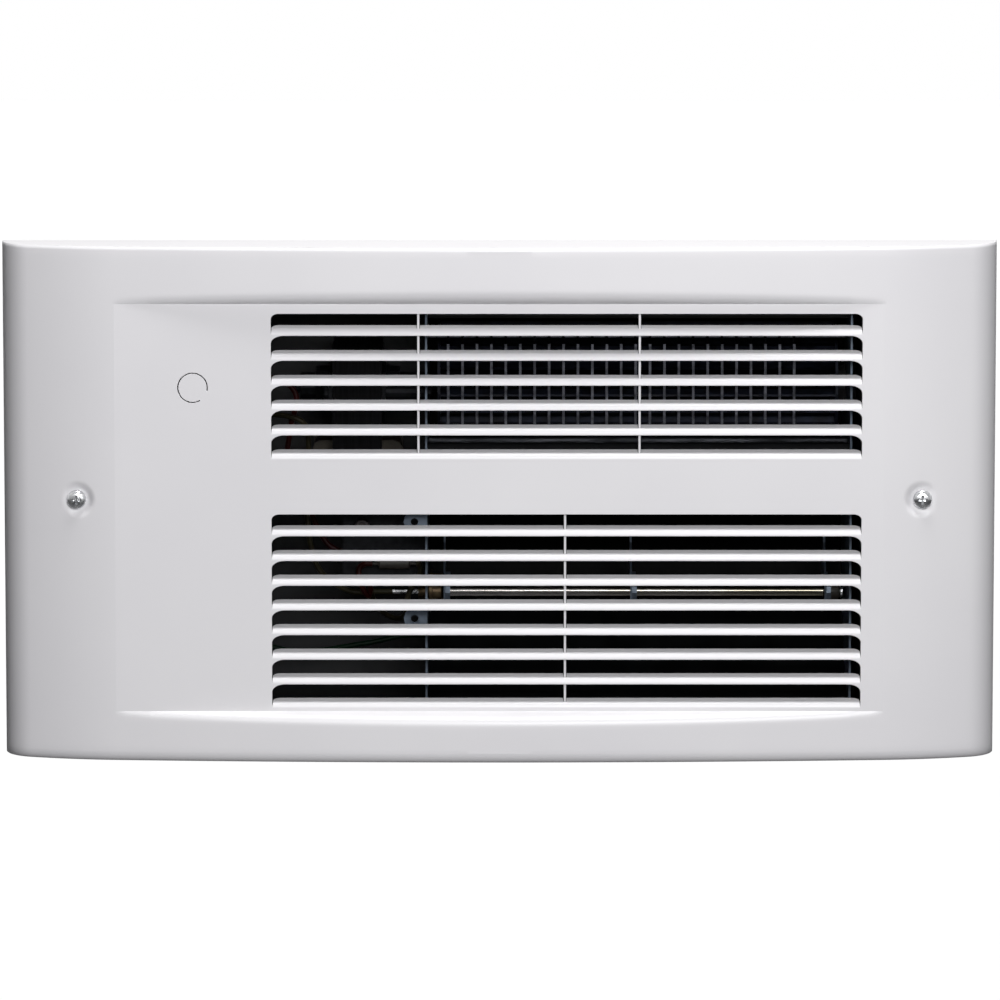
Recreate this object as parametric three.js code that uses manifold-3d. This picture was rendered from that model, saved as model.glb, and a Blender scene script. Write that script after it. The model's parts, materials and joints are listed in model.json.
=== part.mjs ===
// Recessed bathroom wall fan heater: a wall can, a crossflow blower with its motor, a sheathed
// heating element, and a bowed steel cover with lanced louvres.
// Millimetres. X runs to the right, Y into the wall, Z up. The origin lies in the wall surface,
// behind the middle of the cover.
import * as THREE from 'three';
import { mergeVertices } from 'three/addons/utils/BufferGeometryUtils.js';
import Module from 'manifold-3d';

const wasm = await Module();
wasm.setup();

// ---------------------------------------------------------------- fits
const GAP = 0.3; // air left between pieces that touch
const SCREW_FIT = 0.3; // radial clearance of a screw in its hole
const RUNNING_FIT = 0.3; // radial clearance of a shaft in its bearing

// ---------------------------------------------------------------- cover
const COVER_WIDTH = 501.65; // 19 3/4 in
const COVER_HEIGHT = 261.85; // 10 5/16 in
const COVER_CENTRE = -0.75; // middle of its height, from the origin
const COVER_DEPTH = 38.1; // middle of the bow to the wall
const COVER_SHEET = 1;
const COVER_EDGE_BEND = 3.2; // outer bend radius along the top
const COVER_HEM_BEND = 5.5; // and along the bottom
const BOW_RADIUS = 2500; // plan radius of the front
const SHOULDER_RADIUS = 180; // plan radius where the front starts to turn back
const SHOULDER_WIDTH = 44.5;
const CORNER_WIDTH = 12.8; // width taken by the vertical corner bends
const SIDE_EDGE = 2.2; // straight side at the wall
const STEP_RUN = 10; // height of the stamped steps at the middle of the grille panel
const STEP_END_RUN = 6; // and at its tips
const PANEL_TOP_MARGIN = 28.9; // cover top edge to the upper step
const PANEL_BOTTOM_MARGIN = 25.9; // cover bottom edge to the lower step

// ---------------------------------------------------------------- louvres
const LOUVRE_PITCH = 12.6;
const FIRST_PITCH = 11.1; // the first opening of each grille is lower
const UPPER_ROWS = 6;
const LOWER_ROWS = 8;
const UPPER_MARGIN = 33.9; // cover top edge to the first opening
const LOWER_MARGIN = 27; // cover bottom edge to the end of the last louvre
const GRILLE_WIDTH = 297;
const GRILLE_INSET = 68.6; // right edge of the cover to the openings
const STRIP_HEIGHT = 1.5; // flat front strip of each louvre
const CURL_RADIUS = 3.4; // outer radius of the inward curl
const CURL_ANGLE = THREE.MathUtils.degToRad(78);
const TAIL_LENGTH = 3.4; // flat tail behind the curl
const FLAP_SIDE_CUT = 0.4; // lanced slit beside each flap
const FLAP_TIP_WIDTH = 3.4; // rounded flap corners, along the flap
const FLAP_TIP_LENGTH = 4.6; // and across it
const OPENING_CORNER = { width: 6.4, height: 3.9 };
const FIRST_CORNER = { width: 3.8, height: 2.8 };
const TIE_WIDTH = 1.4;
const UPPER_TIES = [74, 185.2]; // from the left edge of the grille
const LOWER_TIES = [147.8];
const KNOCKOUT_DIAMETER = 15.3;
const KNOCKOUT_SLIT = 0.5;
const KNOCKOUT_LEFT = 39.4; // centre, left of the grille
const KNOCKOUT_DROP = 71.3; // centre, below the cover top edge
const KNOCKOUT_TIE = { from: -60, to: -12 }; // uncut degrees

// ---------------------------------------------------------------- cover screws
const SCREW_INSET = 37.8; // side of the cover to the screw
const SCREW_Z = 1.8;
const SCREW_SHANK = 3.5;
const SCREW_HEAD = 9.6;
const SCREW_HEAD_HEIGHT = 2.9;
const SCREW_SEAT = 13; // flat dimple round the hole
const SCREW_SEAT_SINK = 1.4;
const SCREW_TIP = 6; // shank past the ear
const PHILLIPS = { span: 5.2, slot: 1.2, depth: 1.7 };

// ---------------------------------------------------------------- wall can
const CAN_SHEET = 1;
const CAN_DEPTH = 98;
const CAN_HEIGHT = 214;
const CAN_SINK = 3; // can centre below the cover centre
const CAN_EAR = 29.025; // can side to the cover screw
const EAR_MARGIN = 13; // cover screw to the outer edge of the ear
const EAR_HEIGHT = 104;
const EAR_CORNER = 4; // rounding of its outer corners; it is square at the can
const EAR_HOLE = 5;
const EAR_HOLE_SPREAD = 76;
const COLLAR = { outer: 7.6, height: 2.6 }; // drawn collar that the cover screw bites
const CABLE_HOLE = 22.2;
const CABLE_HOLE_LEFT = 36; // can side to the cable hole
const CABLE_HOLE_BACK = 30; // can back to the cable hole
const NAIL_HOLE = 4.5;
const NAIL_MARGIN = 20; // top and bottom of the can to the nail holes

// ---------------------------------------------------------------- blower
const PLATE_SHEET = 1;
const PLATE_FRONT = -14; // front edge of the side plates
const PLATE_SPAN = 213.5; // between the side plates
const PLATE_MARGIN = 7; // can side to the right plate
const TAB_WIDTH = 11;
const TAB_HEIGHT = 11;
const TAB_HOLE = 4;
const TAB_HEIGHTS = [-11.6, -61];
const WHEEL_RADIUS = 34;
const WHEEL_BORE_RADIUS = 24.8;
const WHEEL_END_GAP = 5;
const WHEEL_DISC = 1.4;
const WHEEL_SECTIONS = 2;
const BLADES = 24;
const BLADE_SHEET = 0.9;
const BLADE_LEAN = THREE.MathUtils.degToRad(14);
const BLADE_CAMBER = 1.9;
const SHAFT_DIAMETER = 6;
const HUB = { diameter: 17, length: 12 };
const SCROLL_SHEET = 1;
const SCROLL_CLEARANCE = { top: 9, back: 11 }; // wheel to the scroll
const SCROLL_ROOM = { top: 10, back: 6, bottom: 8 }; // scroll to the can
const TONGUE_SHEET = 1;
const TONGUE_BACK = 8; // front of the wheel to the back of the tongue
const TONGUE_CROWN = 12.4; // bottom of the wheel to the top of the tongue
const BEARING = { bush: 11, grommet: 22, neck: 16, length: 9 };
const GUARD_WIRES = 25;
const GUARD_PITCH = 7.3;
const GUARD_START = 10.5; // left plate to the first wire
const GUARD_WIRE = 1.3;
const GUARD_BAR = 2.4;
const GUARD_FRONT = 9.6; // wires to the front of the wheel

// ---------------------------------------------------------------- motor
const MOTOR_STANDOFF = 20;
const STACK_LENGTH = 25;
const STACK = { width: 60, above: 22, below: 48, corner: 5 };
const STACK_BORE = 28.6;
const ROTOR_DIAMETER = 27.6;
const COIL_LEG = 12; // height of the leg that carries the coil
const COIL_WINDOW = 36;
const COIL_BUILD = 9;
const BOBBIN_WALL = 0.9;
const BOBBIN_FLANGE = 1.3;
const BRIDGE_SHEET = 1.5;
const BRIDGE_RISE = 7;
const BRIDGE_HEIGHT = 18;
const MOTOR_SCREW_INSET = 6; // side of the stack to the motor screws
const BOSS = { diameter: 14, length: 8 };
const MOTOR_SCREW = 4;
const SPACER = 8;

// ---------------------------------------------------------------- element
const ELEMENT_DIAMETER = 8.2;
const ELEMENT_RISE = 57.6; // can bottom to the rods
const ELEMENT_FRONT = 20;
const ELEMENT_SPACING = 32; // between the two rods
const ELEMENT_END_GAP = 2; // link strap to the right plate
const ELEMENT_START = 7.5; // left plate to the sheath
const TERMINAL_DIAMETER = 2.6;
const TERMINAL_REACH = 17; // left of the plate
const INSULATOR = { diameter: 7.6, length: 5.6 };
const LINK = { sheet: 1, height: 7 };
const BUSHING = { flange: 13, body: 9.6, spigot: 7 };
const SUPPORT_SHEET = 0.9;
const SUPPORTS = [8, 103.2, 202.2]; // from the left plate
const SUPPORT_COLLAR = 2.4;
const RAIL = { rise: 31, width: 12, lip: 4, sheet: 1 }; // rise above the rods

// ---------------------------------------------------------------- limit switch and wiring
// Rises are above the rods, and x is from the left plate.
const LIMIT = { x: -32.3, rise: 35.6, diameter: 19, depth: 10 };
const LIMIT_TAB = { reach: 7, height: 6, spread: 5 };
const LIMIT_PLATE = { front: 8, sheet: 1, width: 42, top: 49.4, bottom: 7.4 };
const BUTTON = { diameter: 7.4, length: 7, collar: 9.4, collarLength: 1 };
const BUTTON_TRAVEL = 1.5;
const FUSE = { diameter: 5.6, length: 15.6, rise: 16.6, gap: 8.2 }; // gap from the left plate
const WIRE = 2.8;
const BLOCK = { depth: 18, width: 40, height: 34, y: 20, drop: 76, poles: 2 }; // drop from the can top
const CLAMP = { flange: 27, bore: 14, length: 17, nut: 29 };
const GROUND = { side: 24, rise: 46, head: 8.4, headHeight: 4, shank: 4, length: 9 };

// ---------------------------------------------------------------- derived places
const HALF_WIDTH = COVER_WIDTH / 2;
const COVER_TOP = COVER_CENTRE + COVER_HEIGHT / 2;
const COVER_BOTTOM = COVER_CENTRE - COVER_HEIGHT / 2;
const BOW_HALF = HALF_WIDTH - CORNER_WIDTH - SHOULDER_WIDTH;
const BOW_TILT = Math.asin(BOW_HALF / BOW_RADIUS);
const SHOULDER_TILT = Math.asin(Math.sin(BOW_TILT) + SHOULDER_WIDTH / SHOULDER_RADIUS);
const PANEL_SETBACK = BOW_RADIUS * (1 - Math.cos(BOW_TILT));
const PANEL_FRONT = -(COVER_DEPTH - PANEL_SETBACK);
const PANEL_TOP = COVER_TOP - PANEL_TOP_MARGIN;
const PANEL_BOTTOM = COVER_BOTTOM + PANEL_BOTTOM_MARGIN;
const GRILLE_RIGHT = HALF_WIDTH - GRILLE_INSET;
const GRILLE_LEFT = GRILLE_RIGHT - GRILLE_WIDTH;
const SCREW_X = HALF_WIDTH - SCREW_INSET;
const CAN_HALF = SCREW_X - CAN_EAR;
const CAN_TOP = CAN_HEIGHT / 2 - CAN_SINK;
const CAN_BOTTOM = CAN_TOP - CAN_HEIGHT;
const RIGHT_PLATE = CAN_HALF - PLATE_MARGIN; // left face of the right plate
const LEFT_PLATE = RIGHT_PLATE - PLATE_SPAN; // right face of the left plate
const PLATE_OUTSIDE = LEFT_PLATE - PLATE_SHEET; // left face of the left plate
const WHEEL_LEFT = LEFT_PLATE + WHEEL_END_GAP;
const WHEEL_RIGHT = RIGHT_PLATE - WHEEL_END_GAP;
const STACK_RIGHT = PLATE_OUTSIDE - MOTOR_STANDOFF - 3 * GAP - BRIDGE_SHEET;
const STACK_LEFT = STACK_RIGHT - STACK_LENGTH;
const BRIDGE_SHIFT = GAP + BRIDGE_SHEET; // stack face to the outer face of a bridge foot
const SHAFT_LEFT = STACK_LEFT - BRIDGE_SHIFT - BRIDGE_RISE - BOSS.length - 3;
const AXIS = { // wheel and motor
  y: CAN_DEPTH - CAN_SHEET - SCROLL_ROOM.back - SCROLL_CLEARANCE.back - WHEEL_RADIUS,
  z: CAN_TOP - CAN_SHEET - SCROLL_ROOM.top - SCROLL_CLEARANCE.top - WHEEL_RADIUS,
};
const BRIDGE_FOOT = STACK.width / 2 - MOTOR_SCREW_INSET; // axis to the motor screws
const ELEMENT_REAR = ELEMENT_FRONT + ELEMENT_SPACING;
const ELEMENT_Z = CAN_BOTTOM + ELEMENT_RISE;
const LIMIT_Z = ELEMENT_Z + LIMIT.rise;
const FUSE_Z = ELEMENT_Z + FUSE.rise;
const GROUND_X = GROUND.side - CAN_HALF;
const GROUND_Z = CAN_BOTTOM + GROUND.rise;

// ================================================================ solids
const AXIS_BASES = {
  x: [new THREE.Vector3(0, 1, 0), new THREE.Vector3(0, 0, 1), new THREE.Vector3(1, 0, 0)],
  y: [new THREE.Vector3(1, 0, 0), new THREE.Vector3(0, 0, 1), new THREE.Vector3(0, -1, 0)],
  z: [new THREE.Vector3(1, 0, 0), new THREE.Vector3(0, 1, 0), new THREE.Vector3(0, 0, 1)],
};

function closedSolid(geometry) {
  const bare = geometry.index ? geometry.toNonIndexed() : geometry.clone();
  bare.deleteAttribute('normal');
  bare.deleteAttribute('uv');
  const merged = mergeVertices(bare, 1e-4);
  const corners = merged.index.array;
  const faces = [];
  for (let i = 0; i < corners.length; i += 3) {
    const [a, b, c] = [corners[i], corners[i + 1], corners[i + 2]];
    if (a !== b && b !== c && c !== a) faces.push(a, b, c);
  }
  return new wasm.Manifold(new wasm.Mesh({
    numProp: 3,
    vertProperties: merged.attributes.position.array,
    triVerts: Uint32Array.from(faces),
  }));
}

function geometryOf(solid) {
  const mesh = solid.getMesh();
  const geometry = new THREE.BufferGeometry();
  geometry.setAttribute('position', new THREE.BufferAttribute(mesh.vertProperties, mesh.numProp));
  geometry.setIndex(new THREE.BufferAttribute(mesh.triVerts, 1));
  return geometry;
}

const joined = (solids) => solids.reduce((whole, solid) => whole.add(solid));

function block([x0, x1], [y0, y1], [z0, z1]) {
  const box = new THREE.BoxGeometry(x1 - x0, y1 - y0, z1 - z0);
  box.translate((x0 + x1) / 2, (y0 + y1) / 2, (z0 + z1) / 2);
  return closedSolid(box);
}

// A flat shape pushed along an axis. Its two coordinates are (y, z), (x, z) or (x, y). Each arc
// in it gets an even number of straight parts.
function prism(axis, shape, from, to, arcParts = 2) {
  const options = { depth: to - from, bevelEnabled: false, curveSegments: arcParts / 2 };
  const geometry = new THREE.ExtrudeGeometry(shape, options);
  const [right, up, along] = AXIS_BASES[axis];
  geometry.applyMatrix4(new THREE.Matrix4().makeBasis(right, up, along));
  if (axis === 'x') geometry.translate(from, 0, 0);
  if (axis === 'y') geometry.translate(0, to, 0);
  if (axis === 'z') geometry.translate(0, 0, from);
  return closedSolid(geometry);
}

function outline(points) {
  return new THREE.Shape(points.map(([u, v]) => new THREE.Vector2(u, v)));
}

function disc(u, v, radius) {
  return new THREE.Shape().absarc(u, v, radius, 0, 2 * Math.PI);
}

function roundedBox(u0, u1, v0, v1, radius) {
  const shape = new THREE.Shape();
  shape.absarc(u1 - radius, v0 + radius, radius, -Math.PI / 2, 0);
  shape.absarc(u1 - radius, v1 - radius, radius, 0, Math.PI / 2);
  shape.absarc(u0 + radius, v1 - radius, radius, Math.PI / 2, Math.PI);
  shape.absarc(u0 + radius, v0 + radius, radius, Math.PI, 1.5 * Math.PI);
  shape.closePath();
  return shape;
}

// Sheet metal seen on its edge: a bent line with the sheet's thickness on its left.
function ribbon(points, thickness) {
  const line = points.map(([u, v]) => new THREE.Vector2(u, v));
  const offset = line.map((point, i) => {
    const before = point.clone().sub(line[Math.max(i - 1, 0)]).normalize();
    const after = line[Math.min(i + 1, line.length - 1)].clone().sub(point).normalize();
    const along = before.add(after).normalize();
    const previous = line[Math.max(i - 1, 0)];
    const straight = i === 0 ? along : point.clone().sub(previous).normalize();
    const reach = thickness / Math.max(along.dot(straight), 0.5);
    return new THREE.Vector2(point.x - along.y * reach, point.y + along.x * reach);
  });
  return new THREE.Shape([...line, ...offset.reverse()]);
}

function rod(axis, [u, v], diameter, from, to, sides = 16) {
  return prism(axis, disc(u, v, diameter / 2), from, to, sides);
}

// A closed profile of [radius, distance along the axis], turned about an axis through (u, v).
function turned(axis, [u, v], profile, sides) {
  const points = profile.map(([radius, along]) => new THREE.Vector2(radius, along));
  const geometry = new THREE.LatheGeometry([...points, points[0].clone()], sides);
  const turn = new THREE.Matrix4();
  if (axis === 'x') {
    turn.makeBasis(AXIS_BASES.x[0], AXIS_BASES.x[2], new THREE.Vector3(0, 0, -1));
    turn.setPosition(0, u, v);
  }
  if (axis === 'y') turn.setPosition(u, 0, v);
  if (axis === 'z') {
    turn.makeBasis(AXIS_BASES.z[0], AXIS_BASES.z[2], new THREE.Vector3(0, -1, 0));
    turn.setPosition(u, v, 0);
  }
  geometry.applyMatrix4(turn);
  return closedSolid(geometry);
}

function tube(points, diameter, sides, steps) {
  const path = new THREE.CatmullRomCurve3(points.map((p) => new THREE.Vector3(...p)), false, 'centripetal');
  const corners = Array.from({ length: sides }, (_, i) => {
    const angle = (i / sides) * 2 * Math.PI;
    return new THREE.Vector2(Math.cos(angle), Math.sin(angle)).multiplyScalar(diameter / 2);
  });
  const options = { steps, extrudePath: path, bevelEnabled: false };
  return closedSolid(new THREE.ExtrudeGeometry(new THREE.Shape(corners), options));
}

// ================================================================ cover
// Stations along the plan of the cover, from the left wall edge to the right one: the place on
// the outer face and the tilt of the sheet there.
function planStations() {
  const arc = (count, from, to, ease = 1) => Array.from({ length: count }, (_, i) => {
    return to + (from - to) * (1 - (i + 1) / count) ** ease;
  });
  const right = [{ x: 0, depth: COVER_DEPTH, tilt: 0 }];
  for (const tilt of arc(5, 0, BOW_TILT, 1.4)) {
    const depth = COVER_DEPTH - BOW_RADIUS * (1 - Math.cos(tilt));
    right.push({ x: BOW_RADIUS * Math.sin(tilt), depth, tilt });
  }
  for (const tilt of arc(3, BOW_TILT, SHOULDER_TILT)) {
    const x = BOW_HALF + SHOULDER_RADIUS * (Math.sin(tilt) - Math.sin(BOW_TILT));
    const fall = SHOULDER_RADIUS * (Math.cos(BOW_TILT) - Math.cos(tilt));
    right.push({ x, depth: COVER_DEPTH - PANEL_SETBACK - fall, tilt });
  }
  const cornerStart = right.at(-1);
  const cornerDepth = cornerStart.depth - SIDE_EDGE;
  const cornerRadius = CORNER_WIDTH / (1 - Math.sin(SHOULDER_TILT));
  for (const tilt of arc(4, SHOULDER_TILT, Math.PI / 2)) {
    const x = cornerStart.x + cornerRadius * (Math.sin(tilt) - Math.sin(SHOULDER_TILT));
    const depth = SIDE_EDGE + cornerDepth * (Math.cos(tilt) / Math.cos(SHOULDER_TILT));
    right.push({ x, depth, tilt });
  }
  right.push({ x: HALF_WIDTH, depth: 0, tilt: Math.PI / 2 });
  const left = right.slice(1).reverse().map(({ x, depth, tilt }) => ({ x: -x, depth, tilt: -tilt }));
  return [...left, ...right];
}

// The bend from the wall edge at the given reach above or below the origin over to the front.
function coverRim(front, reach, radius, inset) {
  const bend = Math.min(radius - inset, front);
  const bendSteps = 2;
  const rim = [[0, reach - inset]];
  for (let i = 0; i <= bendSteps; i++) {
    const angle = (i / bendSteps) * (Math.PI / 2);
    const rise = reach - inset - bend * (1 - Math.cos(angle));
    rim.push([front - bend * (1 - Math.sin(angle)), rise]);
  }
  return rim;
}

// One vertical section of the cover at a plan station, as points from the top wall edge over the
// front to the bottom wall edge. An inset moves it to the inner face. The steps start flat and
// steepen as the cube of the way down to the panel.
function coverSection({ x, depth, tilt }, inset) {
  const onWall = depth === 0;
  const across = x - inset * Math.sin(tilt);
  const front = onWall ? 0 : depth - inset * Math.cos(tilt);
  const setback = Math.max(0, PANEL_SETBACK - (COVER_DEPTH - depth));
  const share = onWall ? 0 : setback / PANEL_SETBACK;
  const onPanel = Math.abs(tilt) <= BOW_TILT;
  const run = onPanel ? STEP_END_RUN + (STEP_RUN - STEP_END_RUN) * share : 0;
  const stepSteps = 3;
  const step = [];
  for (let i = 0; i <= stepSteps; i++) {
    const along = (i / stepSteps) ** 0.7;
    const slope = Math.atan2(3 * setback * along ** 2, run);
    step.push([front - setback * along ** 3, (1 - along) * run + inset * Math.tan(slope / 2)]);
  }
  const upper = step.map(([y, rise]) => [y, PANEL_TOP + rise]);
  const lower = step.map(([y, rise]) => [y, PANEL_BOTTOM - rise]).reverse();
  const top = coverRim(front, COVER_TOP, COVER_EDGE_BEND, inset);
  const hem = coverRim(front, -COVER_BOTTOM, COVER_HEM_BEND, inset);
  const bottom = hem.map(([y, z]) => [y, -z]).reverse();
  return [...top, ...upper, ...lower, ...bottom].map(([y, z]) => [across, -y, z]);
}

// A closed shell from two grids of points that share their boundary order.
function shellBetween(outer, inner) {
  const positions = [];
  const quad = (a, b, c, d) => positions.push(...a, ...b, ...c, ...a, ...c, ...d);
  const rows = outer.length - 1;
  const columns = outer[0].length - 1;
  for (let i = 0; i < rows; i++) {
    for (let j = 0; j < columns; j++) {
      quad(outer[i][j], outer[i][j + 1], outer[i + 1][j + 1], outer[i + 1][j]);
      quad(inner[i][j], inner[i + 1][j], inner[i + 1][j + 1], inner[i][j + 1]);
    }
    quad(outer[i][0], outer[i + 1][0], inner[i + 1][0], inner[i][0]);
    quad(outer[i][columns], inner[i][columns], inner[i + 1][columns], outer[i + 1][columns]);
  }
  for (let j = 0; j < columns; j++) {
    quad(outer[0][j], inner[0][j], inner[0][j + 1], outer[0][j + 1]);
    quad(outer[rows][j], outer[rows][j + 1], inner[rows][j + 1], inner[rows][j]);
  }
  const geometry = new THREE.BufferGeometry();
  geometry.setAttribute('position', new THREE.Float32BufferAttribute(positions, 3));
  return closedSolid(geometry);
}

// The rows of one grille from the top: each opening's top edge and the louvre's root below it.
function louvreRows(firstTop, count) {
  const tops = Array.from({ length: count + 1 }, (_, i) => {
    return i === 0 ? firstTop : firstTop - FIRST_PITCH - (i - 1) * LOUVRE_PITCH;
  });
  return tops.slice(0, -1).map((top, i) => ({
    top,
    root: tops[i + 1] + STRIP_HEIGHT,
    corner: i === 0 ? FIRST_CORNER : OPENING_CORNER,
  }));
}

function openingShape({ top, root, corner }) {
  const shape = new THREE.Shape();
  shape.moveTo(GRILLE_LEFT, root);
  shape.lineTo(GRILLE_RIGHT, root);
  const [right, left] = [GRILLE_RIGHT - corner.width, GRILLE_LEFT + corner.width];
  shape.absellipse(right, top - corner.height, corner.width, corner.height, 0, Math.PI / 2);
  shape.absellipse(left, top - corner.height, corner.width, corner.height, Math.PI / 2, Math.PI);
  shape.closePath();
  return shape;
}

// The curled flap of a louvre: stations up its section, narrowed towards rounded corners.
function louvreFlap(root) {
  const curlSteps = 4;
  const tailSteps = 2;
  const length = CURL_RADIUS * CURL_ANGLE + TAIL_LENGTH;
  const stations = [{ angle: 0, tail: 0, along: 0, sunk: STRIP_HEIGHT / 2 }];
  for (let i = 0; i <= curlSteps; i++) {
    const angle = (i / curlSteps) * CURL_ANGLE;
    stations.push({ angle, tail: 0, along: CURL_RADIUS * angle, sunk: 0 });
  }
  for (let i = 1; i <= tailSteps; i++) {
    const tail = (i / tailSteps) * TAIL_LENGTH;
    stations.push({ angle: CURL_ANGLE, tail, along: CURL_RADIUS * CURL_ANGLE + tail, sunk: 0 });
  }
  const section = (inset) => stations.map(({ angle, tail, along, sunk }) => {
    const radius = CURL_RADIUS - inset;
    const y = PANEL_FRONT + CURL_RADIUS - radius * Math.cos(angle) + tail * Math.sin(angle);
    const z = root - sunk + radius * Math.sin(angle) + tail * Math.cos(angle);
    const tip = Math.max(0, (along - (length - FLAP_TIP_LENGTH)) / FLAP_TIP_LENGTH);
    const narrow = FLAP_SIDE_CUT + FLAP_TIP_WIDTH * (1 - Math.sqrt(1 - tip * tip));
    return [[GRILLE_LEFT + narrow, y, z], [GRILLE_RIGHT - narrow, y, z]];
  });
  const turnedGrid = (grid) => [grid.map(([left]) => left), grid.map(([, right]) => right)];
  return shellBetween(turnedGrid(section(COVER_SHEET)), turnedGrid(section(0)));
}

function tieStrip(fromGrilleLeft, rows) {
  const x = GRILLE_LEFT + fromGrilleLeft;
  const across = [x - TIE_WIDTH / 2, x + TIE_WIDTH / 2];
  const through = [PANEL_FRONT, PANEL_FRONT + COVER_SHEET];
  const upward = [rows.at(-1).root - STRIP_HEIGHT / 2, rows[0].top + STRIP_HEIGHT];
  return block(across, through, upward);
}

function knockoutSlit() {
  const x = GRILLE_LEFT - KNOCKOUT_LEFT;
  const z = COVER_TOP - KNOCKOUT_DROP;
  const from = THREE.MathUtils.degToRad(KNOCKOUT_TIE.to);
  const to = THREE.MathUtils.degToRad(KNOCKOUT_TIE.from + 360);
  const shape = new THREE.Shape();
  shape.absarc(x, z, KNOCKOUT_DIAMETER / 2, from, to, false);
  shape.absarc(x, z, KNOCKOUT_DIAMETER / 2 - KNOCKOUT_SLIT, to, from, true);
  shape.closePath();
  return prism('y', shape, -COVER_DEPTH, 0, 16);
}

// The outer face of the cover at the screws, and the flat dimple sunk into it.
const SCREW_TILT = Math.asin(Math.sin(BOW_TILT) + (SCREW_X - BOW_HALF) / SHOULDER_RADIUS);
const SCREW_FALL = SHOULDER_RADIUS * (Math.cos(BOW_TILT) - Math.cos(SCREW_TILT));
const SCREW_SEAT_Y = PANEL_FRONT + SCREW_FALL + SCREW_SEAT_SINK;

function frontCover() {
  const stations = planStations();
  const outer = stations.map((station) => coverSection(station, 0));
  const inner = stations.map((station) => coverSection(station, COVER_SHEET));
  const upper = louvreRows(COVER_TOP - UPPER_MARGIN, UPPER_ROWS);
  const lowerSpan = FIRST_PITCH + (LOWER_ROWS - 1) * LOUVRE_PITCH;
  const lower = louvreRows(COVER_BOTTOM + LOWER_MARGIN + lowerSpan, LOWER_ROWS);
  const rows = [...upper, ...lower];
  let cover = shellBetween(outer, inner);
  for (const row of rows) {
    cover = cover.subtract(prism('y', openingShape(row), -COVER_DEPTH, 0, 4));
  }
  for (const row of rows) cover = cover.add(louvreFlap(row.root));
  for (const place of UPPER_TIES) cover = cover.add(tieStrip(place, upper));
  for (const place of LOWER_TIES) cover = cover.add(tieStrip(place, lower));
  cover = cover.subtract(knockoutSlit());
  for (const x of [-SCREW_X, SCREW_X]) {
    const seatBack = SCREW_SEAT_Y + COVER_SHEET;
    const hole = SCREW_SHANK + 2 * SCREW_FIT;
    const rim = SCREW_SEAT + 2 * COVER_SHEET;
    const wall = SCREW_SEAT * Math.sin(SCREW_TILT);
    cover = cover.add(rod('y', [x, SCREW_Z], rim, SCREW_SEAT_Y - wall / 4, seatBack, 16));
    cover = cover.subtract(rod('y', [x, SCREW_Z], SCREW_SEAT, -COVER_DEPTH, SCREW_SEAT_Y, 16));
    cover = cover.subtract(rod('y', [x, SCREW_Z], hole, -COVER_DEPTH, 0, 10));
  }
  return cover;
}

// A pan head with a cross recess on a plain shank that ends behind the ear of the can.
function coverScrew(side) {
  const centre = [side * SCREW_X, SCREW_Z];
  const under = SCREW_SEAT_Y - GAP;
  const face = under - SCREW_HEAD_HEIGHT;
  const head = SCREW_HEAD / 2;
  const shank = SCREW_SHANK / 2;
  const profile = [
    [0, face], [head * 0.45, face + 0.1], [head * 0.78, face + 0.5], [head * 0.95, face + 1.2],
    [head, face + 2], [head, under], [shank, under], [shank, SCREW_TIP - 2], [0.4, SCREW_TIP],
    [0, SCREW_TIP],
  ];
  let screw = turned('y', centre, profile, 12);
  const [x, z] = centre;
  const { span, slot, depth } = PHILLIPS;
  const cut = [face - 1, face + depth];
  screw = screw.subtract(block([x - span / 2, x + span / 2], cut, [z - slot / 2, z + slot / 2]));
  return screw.subtract(block([x - slot / 2, x + slot / 2], cut, [z - span / 2, z + span / 2]));
}

// ================================================================ wall can
function canEar(side) {
  const root = side * (CAN_HALF - CAN_SHEET);
  const tip = side * (SCREW_X + EAR_MARGIN);
  const [x0, x1] = [Math.min(root, tip), Math.max(root, tip)];
  const [z0, z1] = [SCREW_Z - EAR_HEIGHT / 2, SCREW_Z + EAR_HEIGHT / 2];
  const shape = roundedBox(x0, x1, z0, z1, EAR_CORNER);
  const square = side * (CAN_HALF + EAR_CORNER);
  const collar = COLLAR.height + CAN_SHEET;
  return prism('y', shape, -CAN_SHEET, 0, 2)
    .add(block([Math.min(root, square), Math.max(root, square)], [-CAN_SHEET, 0], [z0, z1]))
    .add(rod('y', [side * SCREW_X, SCREW_Z], COLLAR.outer, -collar, 0, 12));
}

function canEarHoles(side) {
  const spread = EAR_HOLE_SPREAD / 2;
  const hole = SCREW_SHANK + 2 * SCREW_FIT;
  const reach = [-COVER_DEPTH, CAN_SHEET];
  return [
    rod('y', [side * SCREW_X, SCREW_Z], hole, ...reach, 12),
    rod('y', [side * SCREW_X, SCREW_Z + spread], EAR_HOLE, ...reach, 8),
    rod('y', [side * SCREW_X, SCREW_Z - spread], EAR_HOLE, ...reach, 8),
  ];
}

const CABLE_X = -CAN_HALF + CABLE_HOLE_LEFT;
const CABLE_Y = CAN_DEPTH - CABLE_HOLE_BACK;

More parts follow.
